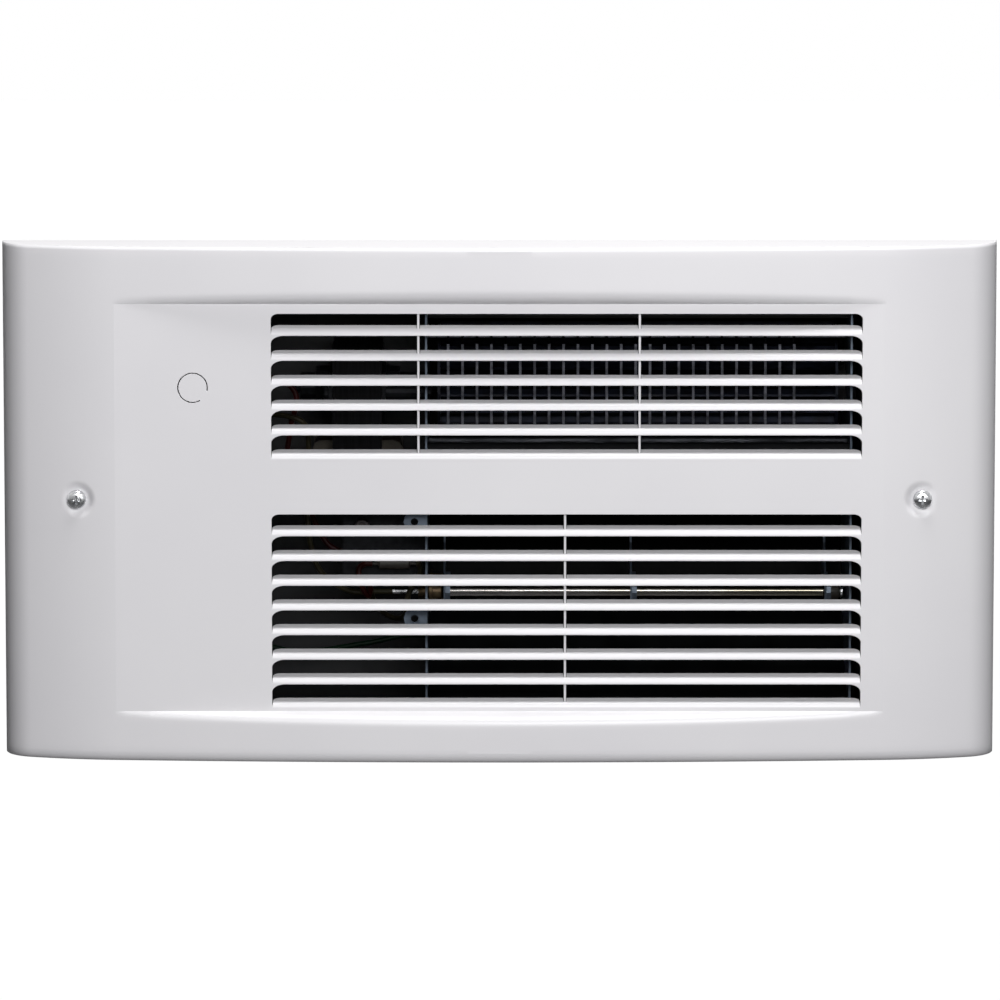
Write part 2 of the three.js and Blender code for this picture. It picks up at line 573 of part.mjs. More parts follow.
function wallCan() {
  const inside = CAN_HALF - CAN_SHEET;
  let can = block([-CAN_HALF, CAN_HALF], [-CAN_SHEET, CAN_DEPTH], [CAN_BOTTOM, CAN_TOP]);
  can = can.subtract(block(
    [-inside, inside],
    [-CAN_DEPTH, CAN_DEPTH - CAN_SHEET],
    [CAN_BOTTOM + CAN_SHEET, CAN_TOP - CAN_SHEET],
  ));
  for (const side of [-1, 1]) {
    can = can.add(canEar(side));
    for (const hole of canEarHoles(side)) can = can.subtract(hole);
    for (const y of [CAN_DEPTH * 0.25, CAN_DEPTH * 0.75]) {
      const wall = [side * CAN_HALF - 2 * CAN_SHEET, side * CAN_HALF + 2 * CAN_SHEET];
      can = can.subtract(rod('x', [y, CAN_TOP - NAIL_MARGIN], NAIL_HOLE, ...wall, 8));
      can = can.subtract(rod('x', [y, CAN_BOTTOM + NAIL_MARGIN], NAIL_HOLE, ...wall, 8));
    }
  }
  const floor = [CAN_BOTTOM - CAN_SHEET, CAN_BOTTOM + 2 * CAN_SHEET];
  can = can.subtract(rod('z', [CABLE_X, CABLE_Y], CABLE_HOLE, ...floor, 12));
  can = can.subtract(rod('z', CHASSIS_SCREW_AT, CHASSIS_SCREW + 2 * SCREW_FIT, ...floor, 8));
  const back = [CAN_DEPTH - 2 * CAN_SHEET, CAN_DEPTH + CAN_SHEET];
  return can.subtract(rod('y', [GROUND_X, GROUND_Z], GROUND.shank + 2 * SCREW_FIT, ...back, 8));
}

// ================================================================ side plates
const PLATE_TOP = CAN_TOP - CAN_SHEET - GAP;
const PLATE_BOTTOM = CAN_BOTTOM + CAN_SHEET + GAP;
const PLATE_BACK = CAN_DEPTH - CAN_SHEET - GAP;
const CHASSIS_SCREW = 4;
const FOOT = { width: 15, front: -8, back: 16 }; // foot of the left plate on the can floor
const CHASSIS_SCREW_AT = [PLATE_OUTSIDE - FOOT.width / 2, (FOOT.front + FOOT.back) / 2];

function plateShape() {
  const corner = 6;
  return roundedBox(PLATE_FRONT, PLATE_BACK, PLATE_BOTTOM, PLATE_TOP, corner);
}

const motorScrewPlaces = () => [-1, 1].map((side) => [AXIS.y + side * BRIDGE_FOOT, AXIS.z]);

function leftSidePlate() {
  const through = [PLATE_OUTSIDE - 1, LEFT_PLATE + 1];
  let plate = prism('x', plateShape(), PLATE_OUTSIDE, LEFT_PLATE, 2);
  for (const z of TAB_HEIGHTS) {
    const [left, right] = [PLATE_OUTSIDE - TAB_WIDTH, LEFT_PLATE];
    const tab = new THREE.Shape();
    tab.moveTo(right, z - TAB_HEIGHT / 2);
    tab.lineTo(right, z + TAB_HEIGHT / 2);
    tab.absarc(left + TAB_HEIGHT / 2, z, TAB_HEIGHT / 2, Math.PI / 2, 1.5 * Math.PI);
    const face = [PLATE_FRONT, PLATE_FRONT + PLATE_SHEET];
    const hole = rod('y', [left + TAB_HEIGHT / 2, z], TAB_HOLE, face[0] - 1, face[1] + 1, 8);
    plate = plate.add(prism('y', tab, ...face, 6).subtract(hole));
  }
  const foot = block(
    [PLATE_OUTSIDE - FOOT.width, LEFT_PLATE],
    [FOOT.front, FOOT.back],
    [PLATE_BOTTOM, PLATE_BOTTOM + PLATE_SHEET],
  );
  plate = plate.add(foot);
  const screwHole = CHASSIS_SCREW + 2 * SCREW_FIT;
  plate = plate.subtract(rod('z', CHASSIS_SCREW_AT, screwHole, CAN_BOTTOM, PLATE_BOTTOM + 3, 8));
  plate = plate.subtract(rod('x', [AXIS.y, AXIS.z], HUB.diameter, ...through, 16));
  for (const place of motorScrewPlaces()) {
    plate = plate.subtract(rod('x', place, MOTOR_SCREW + 2 * SCREW_FIT, ...through, 8));
  }
  for (const y of [ELEMENT_FRONT, ELEMENT_REAR]) {
    plate = plate.subtract(rod('x', [y, ELEMENT_Z], BUSHING.spigot + 2 * GAP, ...through, 12));
  }
  return plate;
}

function rightSidePlate() {
  const plate = prism('x', plateShape(), RIGHT_PLATE, RIGHT_PLATE + PLATE_SHEET, 2);
  const hole = BEARING.neck + 2 * GAP;
  return plate.subtract(rod('x', [AXIS.y, AXIS.z], hole, RIGHT_PLATE - 1, RIGHT_PLATE + 2, 20));
}

function chassisScrew() {
  const under = PLATE_BOTTOM + PLATE_SHEET + GAP;
  const [shank, head] = [CHASSIS_SCREW / 2, CHASSIS_SCREW];
  const tip = CAN_BOTTOM - 3;
  const profile = [
    [0, tip], [shank, tip + 1], [shank, under], [head, under], [head, under + 2.4], [0, under + 3],
  ];
  return turned('z', CHASSIS_SCREW_AT, profile, 12);
}

// ================================================================ blower
const DUCT = [LEFT_PLATE + GAP, RIGHT_PLATE - GAP];

// The scroll runs from the front of the intake over the wheel and down behind it to the outlet.
function blowerScroll() {
  const { y, z } = AXIS;
  const top = z + WHEEL_RADIUS + SCROLL_CLEARANCE.top;
  const back = y + WHEEL_RADIUS + SCROLL_CLEARANCE.back;
  const bottom = CAN_BOTTOM + SCROLL_ROOM.bottom;
  const front = PLATE_FRONT + 2;
  const around = [
    [front, top - 1], [y - 26, top], [y + 8, top - 1], [back - 13, top - 13], [back - 1, z + 4],
    [back, z - 30], [back - 6, ELEMENT_Z + 32.4], [y + 25, bottom + 44], [y + 2, bottom + 19],
    [y - 26, bottom + 5], [front, bottom],
  ];
  const curve = new THREE.SplineCurve(around.map(([y, z]) => new THREE.Vector2(y, z)));
  const points = curve.getPoints(26).map((point) => [point.x, point.y]);
  return prism('x', ribbon(points, SCROLL_SHEET), ...DUCT);
}

// The tongue closes the front between intake and outlet, and cuts the air off at the wheel.
function blowerTongue() {
  const front = PLATE_FRONT + 1;
  const back = AXIS.y - WHEEL_RADIUS + TONGUE_BACK;
  const crown = AXIS.z - WHEEL_RADIUS + TONGUE_CROWN;
  const foot = crown - 24.4;
  const around = [
    [front, foot], [front, crown - 2.2], [front + 1, crown - 0.6], [front + 3, crown],
    [back - 10, crown], [back - 4, crown - 1.8], [back - 0.6, crown - 5.8], [back, crown - 10.4],
    [back, foot],
  ];
  return prism('x', ribbon(around, -TONGUE_SHEET), ...DUCT);
}

function wheelBlade() {
  const middle = (WHEEL_RADIUS + WHEEL_BORE_RADIUS) / 2;
  const half = (WHEEL_RADIUS - WHEEL_BORE_RADIUS) / 2 - 0.4;
  const points = [-1, 0, 1].map((place) => {
    const bulge = BLADE_CAMBER * (1 - place * place);
    return [place * half, bulge];
  });
  const shape = ribbon(points, -BLADE_SHEET);
  const geometry = new THREE.ExtrudeGeometry(shape, {
    depth: WHEEL_RIGHT - WHEEL_LEFT - WHEEL_DISC,
    bevelEnabled: false,
  });
  geometry.rotateZ(BLADE_LEAN);
  geometry.translate(middle, 0, 0);
  return geometry;
}

function blowerWheel() {
  const start = WHEEL_LEFT + WHEEL_DISC / 2;
  const pieces = [];
  for (let i = 0; i < BLADES; i++) {
    const blade = wheelBlade();
    blade.rotateZ((i / BLADES) * 2 * Math.PI);
    blade.applyMatrix4(new THREE.Matrix4().makeBasis(...AXIS_BASES.x));
    blade.translate(start, AXIS.y, AXIS.z);
    pieces.push(closedSolid(blade));
  }
  const span = WHEEL_RIGHT - WHEEL_LEFT - WHEEL_DISC;
  for (let i = 0; i <= WHEEL_SECTIONS; i++) {
    const left = WHEEL_LEFT + (i / WHEEL_SECTIONS) * span;
    const isEnd = i === 0 || i === WHEEL_SECTIONS;
    const rim = new THREE.Shape().absarc(AXIS.y, AXIS.z, WHEEL_RADIUS, 0, 2 * Math.PI);
    if (!isEnd) {
      rim.holes.push(new THREE.Path().absarc(AXIS.y, AXIS.z, WHEEL_BORE_RADIUS, 0, 2 * Math.PI));
    }
    pieces.push(prism('x', rim, left, left + WHEEL_DISC, 24));
  }
  pieces.push(rod('x', [AXIS.y, AXIS.z], HUB.diameter - 2, WHEEL_LEFT, WHEEL_LEFT + HUB.length, 12));
  const stub = [WHEEL_RIGHT - WHEEL_DISC, RIGHT_PLATE + BEARING.length / 2];
  pieces.push(rod('x', [AXIS.y, AXIS.z], SHAFT_DIAMETER, ...stub, 12));
  const bore = SHAFT_DIAMETER + 2 * GAP;
  const reach = [WHEEL_LEFT - 1, WHEEL_LEFT + HUB.length + 1];
  return joined(pieces).subtract(rod('x', [AXIS.y, AXIS.z], bore, ...reach, 12));
}

const BEARING_FROM = RIGHT_PLATE + PLATE_SHEET / 2 - BEARING.length / 2;
const BEARING_TO = BEARING_FROM + BEARING.length;

function bearingBush() {
  const bore = SHAFT_DIAMETER / 2 + RUNNING_FIT;
  const profile = [
    [bore, BEARING_FROM], [BEARING.bush / 2, BEARING_FROM], [BEARING.bush / 2, BEARING_TO],
    [bore, BEARING_TO],
  ];
  return turned('x', [AXIS.y, AXIS.z], profile, 12);
}

function bearingGrommet() {
  const bore = BEARING.bush / 2 + GAP;
  const [outer, neck] = [BEARING.grommet / 2, BEARING.neck / 2];
  const [left, right] = [RIGHT_PLATE - GAP, RIGHT_PLATE + PLATE_SHEET + GAP];
  const taper = 0.8;
  const profile = [
    [bore, BEARING_FROM], [outer - taper, BEARING_FROM], [outer, left], [neck, left],
    [neck, right], [outer, right], [outer - taper, BEARING_TO], [bore, BEARING_TO],
  ];
  return turned('x', [AXIS.y, AXIS.z], profile, 12);
}

// Upright guard wires in front of the wheel, bent back to a bar at the top and at the bottom.
function intakeGuard() {
  const wheelFront = AXIS.y - WHEEL_RADIUS;
  const front = wheelFront - GUARD_FRONT;
  const [top, bottom] = [AXIS.z + WHEEL_RADIUS - 3.2, AXIS.z - WHEEL_RADIUS + 15.6];
  const bent = [
    [wheelFront - 2, top - 0.2], [front, top - 3.8], [front, bottom + 4.4],
    [wheelFront - 2.6, bottom - 0.2],
  ];
  const wires = [];
  for (let i = 0; i < GUARD_WIRES; i++) {
    const x = LEFT_PLATE + GUARD_START + i * GUARD_PITCH;
    wires.push(prism('x', ribbon(bent, GUARD_WIRE), x - GUARD_WIRE / 2, x + GUARD_WIRE / 2));
  }
  const bars = [[wheelFront - GUARD_BAR, top], [wheelFront - 3, bottom]].map(([y, z]) => {
    return block(DUCT, [y, y + GUARD_BAR], [z - GUARD_BAR / 2, z + GUARD_BAR / 2]);
  });
  return joined([...bars, ...wires]);
}

// ================================================================ motor
function motorStator() {
  const shape = roundedBox(
    AXIS.y - STACK.width / 2,
    AXIS.y + STACK.width / 2,
    AXIS.z - STACK.below,
    AXIS.z + STACK.above,
    STACK.corner,
  );
  const floor = AXIS.z - STACK.below + COIL_LEG;
  const window = roundedBox(
    AXIS.y - COIL_WINDOW / 2,
    AXIS.y + COIL_WINDOW / 2,
    floor,
    floor + COIL_BUILD + BOBBIN_WALL + 5 * GAP,
    1,
  );
  shape.holes.push(window);
  const stack = prism('x', shape, STACK_LEFT, STACK_RIGHT, 2);
  const reach = [STACK_LEFT - 1, STACK_RIGHT + 1];
  const holes = motorScrewPlaces().map((place) => {
    return rod('x', place, MOTOR_SCREW + 2 * SCREW_FIT, ...reach, 8);
  });
  holes.push(rod('x', [AXIS.y, AXIS.z], STACK_BORE, ...reach, 20));
  return holes.reduce((whole, hole) => whole.subtract(hole), stack);
}

// Rings round the coil leg, grown outwards from the stack.
function legRing(inside, outside, from, to) {
  const bottom = AXIS.z - STACK.below;
  const ring = (grow, corner) => roundedBox(
    STACK_LEFT - grow,
    STACK_RIGHT + grow,
    bottom - grow,
    bottom + COIL_LEG + grow,
    corner,
  );
  const shape = ring(outside, Math.min(outside, 4));
  shape.holes.push(ring(inside, 0.2));
  return prism('y', shape, from, to, 2);
}

const COIL_FROM = AXIS.y - COIL_WINDOW / 2 + GAP;
const COIL_TO = AXIS.y + COIL_WINDOW / 2 - GAP;

function coilBobbin() {
  const wall = GAP + BOBBIN_WALL;
  const flange = wall + COIL_BUILD + GAP / 2;
  return joined([
    legRing(GAP, wall, COIL_FROM, COIL_TO),
    legRing(GAP, flange, COIL_FROM, COIL_FROM + BOBBIN_FLANGE),
    legRing(GAP, flange, COIL_TO - BOBBIN_FLANGE, COIL_TO),
  ]);
}

function motorCoil() {
  const inside = 2 * GAP + BOBBIN_WALL;
  const between = BOBBIN_FLANGE + GAP;
  return legRing(inside, inside + COIL_BUILD - 2 * GAP, COIL_FROM + between, COIL_TO - between);
}

// A strap over the rotor that carries a bearing boss, facing right (1) or left (-1).
function motorBridge(facing) {
  const stackFace = facing > 0 ? STACK_RIGHT : STACK_LEFT;
  const foot = BRIDGE_FOOT + 5;
  const line = [[-foot, 0], [-15, 0], [-10, BRIDGE_RISE], [10, BRIDGE_RISE], [15, 0], [foot, 0]];
  const points = line.map(([y, rise]) => [stackFace + facing * (GAP + rise), AXIS.y + y]);
  const sheet = prism(
    'z',
    ribbon(points, -facing * BRIDGE_SHEET),
    AXIS.z - BRIDGE_HEIGHT / 2,
    AXIS.z + BRIDGE_HEIGHT / 2,
  );
  const rise = stackFace + facing * (GAP + BRIDGE_RISE);
  const tip = rise + facing * (BRIDGE_SHEET + BOSS.length);
  const [from, to] = [Math.min(rise, tip), Math.max(rise, tip)];
  const bore = SHAFT_DIAMETER + 2 * RUNNING_FIT;
  let bridge = sheet.add(rod('x', [AXIS.y, AXIS.z], BOSS.diameter, from, to, 12));
  bridge = bridge.subtract(rod('x', [AXIS.y, AXIS.z], bore, from - 3, to + 3, 12));
  for (const place of motorScrewPlaces()) {
    const hole = MOTOR_SCREW + 2 * SCREW_FIT;
    bridge = bridge.subtract(rod('x', place, hole, stackFace - 9, stackFace + 9, 8));
  }
  return bridge;
}

function motorRotor() {
  const half = 2;
  const bore = SHAFT_DIAMETER / 2 + GAP;
  const [left, right] = [STACK_LEFT - half, STACK_RIGHT + half];
  const [ring, core] = [ROTOR_DIAMETER / 2, ROTOR_DIAMETER / 2 - 2];
  const profile = [
    [bore, left], [core, left], [ring, left + 1], [ring, right - 1], [core, right], [bore, right],
  ];
  return turned('x', [AXIS.y, AXIS.z], profile, 12);
}

function motorShaft() {
  const end = WHEEL_LEFT + HUB.length - 1;
  const radius = SHAFT_DIAMETER / 2;
  const profile = [
    [0, SHAFT_LEFT], [radius - 0.5, SHAFT_LEFT], [radius, SHAFT_LEFT + 0.5], [radius, end - 0.5],
    [radius - 0.5, end], [0, end],
  ];
  return turned('x', [AXIS.y, AXIS.z], profile, 12);
}

const BRIDGE_OUTSIDE = { right: STACK_RIGHT + BRIDGE_SHIFT, left: STACK_LEFT - BRIDGE_SHIFT };

function motorScrew(place) {
  const under = BRIDGE_OUTSIDE.left - GAP;
  const radius = MOTOR_SCREW / 2;
  const tip = LEFT_PLATE + 2;
  const profile = [
    [0, under - 3], [radius * 1.4, under - 3], [radius * 2, under - 2], [radius * 2, under],
    [radius, under], [radius, tip - 0.6], [radius - 0.6, tip], [0, tip],
  ];
  return turned('x', place, profile, 10);
}

function motorSpacer([y, z]) {
  const shape = disc(y, z, SPACER / 2);
  const bore = MOTOR_SCREW / 2 + SCREW_FIT;
  shape.holes.push(new THREE.Path().absarc(y, z, bore, 0, 2 * Math.PI));
  return prism('x', shape, BRIDGE_OUTSIDE.right + GAP, PLATE_OUTSIDE - GAP, 12);
}

// ================================================================ element
const SHEATH_LEFT = LEFT_PLATE + ELEMENT_START;
const SHEATH_RIGHT = RIGHT_PLATE - ELEMENT_END_GAP - LINK.sheet - INSULATOR.length - 2 * GAP;

// One straight sheathed rod with swaged ends. Two of them are linked in line at the right.
function heatingElement(y) {
  const [radius, swage] = [ELEMENT_DIAMETER / 2, 0.6];
  const profile = [
    [0, SHEATH_LEFT], [radius - swage, SHEATH_LEFT], [radius, SHEATH_LEFT + 2],
    [radius, SHEATH_RIGHT - 2], [radius - swage, SHEATH_RIGHT], [0, SHEATH_RIGHT],
  ];
  return turned('x', [y, ELEMENT_Z], profile, 12);
}

function elementInsulator(y) {
  const [bore, rim] = [TERMINAL_DIAMETER / 2 + GAP, INSULATOR.diameter / 2];
  const [left, right] = [SHEATH_RIGHT + GAP, SHEATH_RIGHT + GAP + INSULATOR.length];
  const profile = [
    [bore, left], [rim, left], [rim, right - 1.4], [rim - 1.4, right], [bore, right],
  ];
  return turned('x', [y, ELEMENT_Z], profile, 12);
}

// A strap behind the insulators that joins the right pins of both rods.
function elementLink() {
  const left = SHEATH_RIGHT + 2 * GAP + INSULATOR.length;
  const half = LINK.height / 2;
  const shape = roundedBox(
    ELEMENT_FRONT - half,
    ELEMENT_REAR + half,
    ELEMENT_Z - half,
    ELEMENT_Z + half,
    half - GAP,
  );
  const pins = [ELEMENT_FRONT, ELEMENT_REAR].map((y) => {
    return rod('x', [y, ELEMENT_Z], TERMINAL_DIAMETER, SHEATH_RIGHT + GAP, left + LINK.sheet, 8);
  });
  return joined([prism('x', shape, left, left + LINK.sheet, 4), ...pins]);
}

// An end bushing seated on the right face of the left plate, with a spigot through its hole.
function elementBushing(y) {
  const bore = TERMINAL_DIAMETER / 2 + GAP;
  const { flange, body, spigot } = BUSHING;
  const seat = LEFT_PLATE + GAP;
  const profile = [
    [bore, PLATE_OUTSIDE - 4], [spigot / 2, PLATE_OUTSIDE - 4], [spigot / 2, seat],
    [flange / 2, seat], [flange / 2, seat + 2], [body / 2, seat + 2], [body / 2, SHEATH_LEFT - GAP],
    [bore, SHEATH_LEFT - GAP],
  ];
  return turned('x', [y, ELEMENT_Z], profile, 12);
}

function elementTerminal(y) {
  return rod('x', [y, ELEMENT_Z], TERMINAL_DIAMETER, PLATE_OUTSIDE - TERMINAL_REACH, SHEATH_LEFT - GAP, 8);
}

const RAIL_Y = (ELEMENT_FRONT + ELEMENT_REAR) / 2;
const RAIL_TOP = ELEMENT_Z + RAIL.rise;

function elementRail() {
  const [front, back] = [RAIL_Y - RAIL.width / 2, RAIL_Y + RAIL.width / 2];
  const line = [[front, RAIL_TOP - RAIL.lip], [front, RAIL_TOP], [back, RAIL_TOP]];
  return prism('x', ribbon(line, -RAIL.sheet), ...DUCT);
}

// A thin hanger under the rail with a drawn collar round each rod of the element.
function elementSupport(fromPlate) {
  const x = LEFT_PLATE + fromPlate;
  const span = [x, x + SUPPORT_SHEET];
  const top = RAIL_TOP - RAIL.sheet - GAP;
  const reach = ELEMENT_DIAMETER / 2 + 3;
  const neck = RAIL.width / 2 - RAIL.sheet - GAP;
  const shape = outline([
    [RAIL_Y - neck, top], [RAIL_Y - neck, top - 6], [ELEMENT_FRONT - reach, ELEMENT_Z + reach],
    [ELEMENT_FRONT - reach, ELEMENT_Z - reach], [ELEMENT_REAR + reach, ELEMENT_Z - reach],
    [ELEMENT_REAR + reach, ELEMENT_Z + reach], [RAIL_Y + neck, top - 6], [RAIL_Y + neck, top],
  ]);
  let support = prism('x', shape, ...span);
  const bore = ELEMENT_DIAMETER + 2 * GAP;
  for (const y of [ELEMENT_FRONT, ELEMENT_REAR]) {
    const collar = [x, x + SUPPORT_SHEET + SUPPORT_COLLAR];
    support = support.add(rod('x', [y, ELEMENT_Z], bore + 2 * SUPPORT_SHEET, ...collar, 10));
  }
  for (const y of [ELEMENT_FRONT, ELEMENT_REAR]) {
    support = support.subtract(rod('x', [y, ELEMENT_Z], bore, x - 1, x + 9, 10));
  }
  return support;
}

// ================================================================ limit switch, fuse, wiring
const LIMIT_X = PLATE_OUTSIDE + LIMIT.x;
const LIMIT_BACK = LIMIT_PLATE.front + LIMIT_PLATE.sheet;
const BUTTON_HOLE = BUTTON.diameter + 2 * RUNNING_FIT;

// A bent plate on the left side plate that faces the grille and carries switch and fuse.
function limitBracket() {
  const { front, sheet, width } = LIMIT_PLATE;
  const [top, bottom] = [ELEMENT_Z + LIMIT_PLATE.top, ELEMENT_Z + LIMIT_PLATE.bottom];
  const right = PLATE_OUTSIDE - GAP;
  const face = block([right - width, right], [front, LIMIT_BACK], [bottom, top]);
  const flange = block([right - sheet, right], [front, front + 14], [bottom, bottom + 24]);
  const hole = rod('y', [LIMIT_X, LIMIT_Z], BUTTON_HOLE, front - 1, LIMIT_BACK + 1, 16);
  return face.add(flange).subtract(hole);
}

function limitSwitch() {
  const seat = LIMIT_BACK + GAP;
  const radius = LIMIT.diameter / 2;
  const chamber = BUTTON.collar / 2 + GAP;
  const chamberBack = seat + BUTTON_TRAVEL + BUTTON.collarLength + 3 * GAP;
  const back = seat + LIMIT.depth;
  const half = LIMIT_TAB.height / 2;
  const profile = [
    [0, chamberBack], [chamber, chamberBack], [chamber, seat], [radius, seat],
    [radius, seat + 5], [radius - 1.6, seat + 5], [radius - 1.6, back], [0, back],
  ];
  const body = turned('y', [LIMIT_X, LIMIT_Z], profile, 16);
  const tabs = [-1, 1].map((side) => {
    const x = LIMIT_X + side * LIMIT_TAB.spread;
    const reach = [back - 1, back + LIMIT_TAB.reach];
    return block([x - 0.4, x + 0.4], reach, [LIMIT_Z - half, LIMIT_Z + half]);
  });
  return joined([body, ...tabs]);
}

// The reset button: a stem through the bracket with a collar held in the switch.
function resetButton() {
  const seat = LIMIT_BACK + 2 * GAP;
  const tip = seat + BUTTON.collarLength - BUTTON.length;
  const [stem, collar] = [BUTTON.diameter / 2, BUTTON.collar / 2];
  const dish = 1;
  const profile = [
    [0, tip + dish], [stem - 1.4, tip + dish], [stem - 1.2, tip], [stem - 0.4, tip],
    [stem, tip + 0.4], [stem, seat], [collar, seat], [collar, seat + BUTTON.collarLength],
    [0, seat + BUTTON.collarLength],
  ];
  return turned('y', [LIMIT_X, LIMIT_Z], profile, 14);
}

const FUSE_RIGHT = PLATE_OUTSIDE - FUSE.gap;
const FUSE_LEFT = FUSE_RIGHT - FUSE.length;
const FUSE_Y = LIMIT_PLATE.front - GAP - FUSE.diameter / 2;

function thermalFuse() {
  const radius = FUSE.diameter / 2;
  const pin = 0.7;
  const profile = [
    [0, FUSE_LEFT - 3], [pin, FUSE_LEFT - 3], [pin, FUSE_LEFT], [radius - 0.5, FUSE_LEFT],
    [radius, FUSE_LEFT + 0.5], [radius, FUSE_RIGHT - 0.5], [radius - 0.5, FUSE_RIGHT],
    [pin, FUSE_RIGHT], [pin, FUSE_RIGHT + 3], [0, FUSE_RIGHT + 3],
  ];
  return turned('x', [FUSE_Y, FUSE_Z], profile, 12);
}

const BLOCK_LEFT = -CAN_HALF + CAN_SHEET + GAP;
const BLOCK_RIGHT = BLOCK_LEFT + BLOCK.depth;
const BLOCK_Z = CAN_TOP - BLOCK.drop;
const poleHeight = (pole) => BLOCK_Z + (BLOCK.height * (pole + 0.5)) / BLOCK.poles;

function terminalBlock() {
  const base = block(
    [BLOCK_LEFT, BLOCK_RIGHT],
    [BLOCK.y, BLOCK.y + BLOCK.width],
    [BLOCK_Z, BLOCK_Z + BLOCK.height],
  );
  let body = base;
  for (let pole = 0; pole < BLOCK.poles; pole++) {
    const z = poleHeight(pole);
    const well = [BLOCK_RIGHT - 6, BLOCK_RIGHT + 1];
    for (const y of [BLOCK.y + BLOCK.width * 0.25, BLOCK.y + BLOCK.width * 0.75]) {
      body = body.subtract(rod('x', [y, z], 7, ...well, 12));
    }
  }
  return body;
}

// A two-piece fitting in the cable hole of the can floor.
function cableClamp() {
  const inside = CAN_BOTTOM + CAN_SHEET;
  const [bore, neck, flange] = [CLAMP.bore / 2, CABLE_HOLE / 2 - GAP, CLAMP.flange / 2];
  const below = CAN_BOTTOM - GAP;
  const profile = [
    [bore, below - CLAMP.length], [neck, below - CLAMP.length], [neck, below - 3],
    [flange, below - 3], [flange, below], [neck, below], [neck, inside + 5], [bore, inside + 5],
  ];
  return turned('z', [CABLE_X, CABLE_Y], profile, 12);
}

function clampLocknut() {
  const seat = CAN_BOTTOM + CAN_SHEET + GAP;
  const bore = new THREE.Path().absarc(CABLE_X, CABLE_Y, CABLE_HOLE / 2, 0, 2 * Math.PI);
  const lugs = 8;
  const corners = [];
  for (let i = 0; i < 2 * lugs; i++) {
    const angle = (i / lugs) * Math.PI;
    const radius = CLAMP.nut / 2 - (i % 2) * 1.2;
    corners.push([CABLE_X + radius * Math.cos(angle), CABLE_Y + radius * Math.sin(angle)]);
  }
  const shape = outline(corners);
  shape.holes.push(bore);
  return prism('z', shape, seat, seat + 2.4, 12);
}

const GROUND_UNDER = CAN_DEPTH - CAN_SHEET - GAP;

function groundScrew() {
  const hexagon = outline(Array.from({ length: 6 }, (_, i) => {
    const angle = (i / 6) * 2 * Math.PI;
    const radius = GROUND.head / 2;
    return [GROUND_X + radius * Math.cos(angle), GROUND_Z + radius * Math.sin(angle)];
  }));
  const head = prism('y', hexagon, GROUND_UNDER - GROUND.headHeight, GROUND_UNDER);
  const tip = GROUND_UNDER + GROUND.length;
  return head.add(rod('y', [GROUND_X, GROUND_Z], GROUND.shank, GROUND_UNDER - 1, tip, 8));
}

const wire = (points) => tube(points, WIRE, 6, 14);
const WELL_Y = BLOCK.y + BLOCK.width * 0.25;
const TERMINAL_END = PLATE_OUTSIDE - TERMINAL_REACH - GAP;
const TAB_Y = LIMIT_BACK + GAP + LIMIT.depth + LIMIT_TAB.reach / 2;
const TAB_FOOT = LIMIT_Z - LIMIT_TAB.height / 2 - GAP;
const DROP_X = STACK_LEFT - 18; // the leads run down left of the motor
const beforeDrop = (share) => BLOCK_RIGHT + 8 + share * (DROP_X - BLOCK_RIGHT - 8);

const supplyLeadRed = () => wire([
  [BLOCK_RIGHT - 5, WELL_Y, poleHeight(1)], [BLOCK_RIGHT + 8, WELL_Y, poleHeight(1)],
  [beforeDrop(0.53), 16, poleHeight(1) + 6.5], [DROP_X - 4, 4, poleHeight(1) + 2.5],
  [DROP_X, 2.5, AXIS.z], [DROP_X - 3, 6, AXIS.z - 16], [DROP_X - 5, 14, AXIS.z - 40],
  [DROP_X + 5, TAB_Y, LIMIT_Z + 8], [LIMIT_X - 17, TAB_Y, TAB_FOOT - 9],
  [LIMIT_X - 7, TAB_Y, TAB_FOOT - 12], [LIMIT_X - LIMIT_TAB.spread, TAB_Y, TAB_FOOT - 6],
  [LIMIT_X - LIMIT_TAB.spread, TAB_Y, TAB_FOOT],
]);

const supplyLeadWhite = () => wire([
  [BLOCK_RIGHT - 5, WELL_Y, poleHeight(0)], [BLOCK_RIGHT + 8, WELL_Y, poleHeight(0)],
  [beforeDrop(0.5), 12, poleHeight(0) + 3.5], [DROP_X - 1, -2, poleHeight(0) + 3.5],
  [DROP_X + 4.5, -1, poleHeight(0) - 0.5], [DROP_X + 6, 6, AXIS.z - 36],
  [DROP_X + 5, 8, LIMIT_Z + 6.8], [DROP_X + 11, 14, ELEMENT_Z + 12.4],
  [TERMINAL_END - 21, ELEMENT_FRONT, ELEMENT_Z], [TERMINAL_END - 11, ELEMENT_FRONT, ELEMENT_Z],
  [TERMINAL_END, ELEMENT_FRONT, ELEMENT_Z],
]);

const limitLead = () => wire([
  [LIMIT_X + LIMIT_TAB.spread, TAB_Y, TAB_FOOT], [LIMIT_X + LIMIT_TAB.spread, TAB_Y, TAB_FOOT - 6],
  [LIMIT_X + 4, ELEMENT_FRONT, ELEMENT_Z + 10], [LIMIT_X + 4, 15, ELEMENT_Z + 2.4],
  [LIMIT_X + 3, 6, ELEMENT_Z], [LIMIT_X, 1, FUSE_Z - 11.2],
  [FUSE_LEFT - 10, 2.5, FUSE_Z - 2.2], [FUSE_LEFT - 7, FUSE_Y, FUSE_Z],
  [FUSE_LEFT - 3 - GAP, FUSE_Y, FUSE_Z],
]);

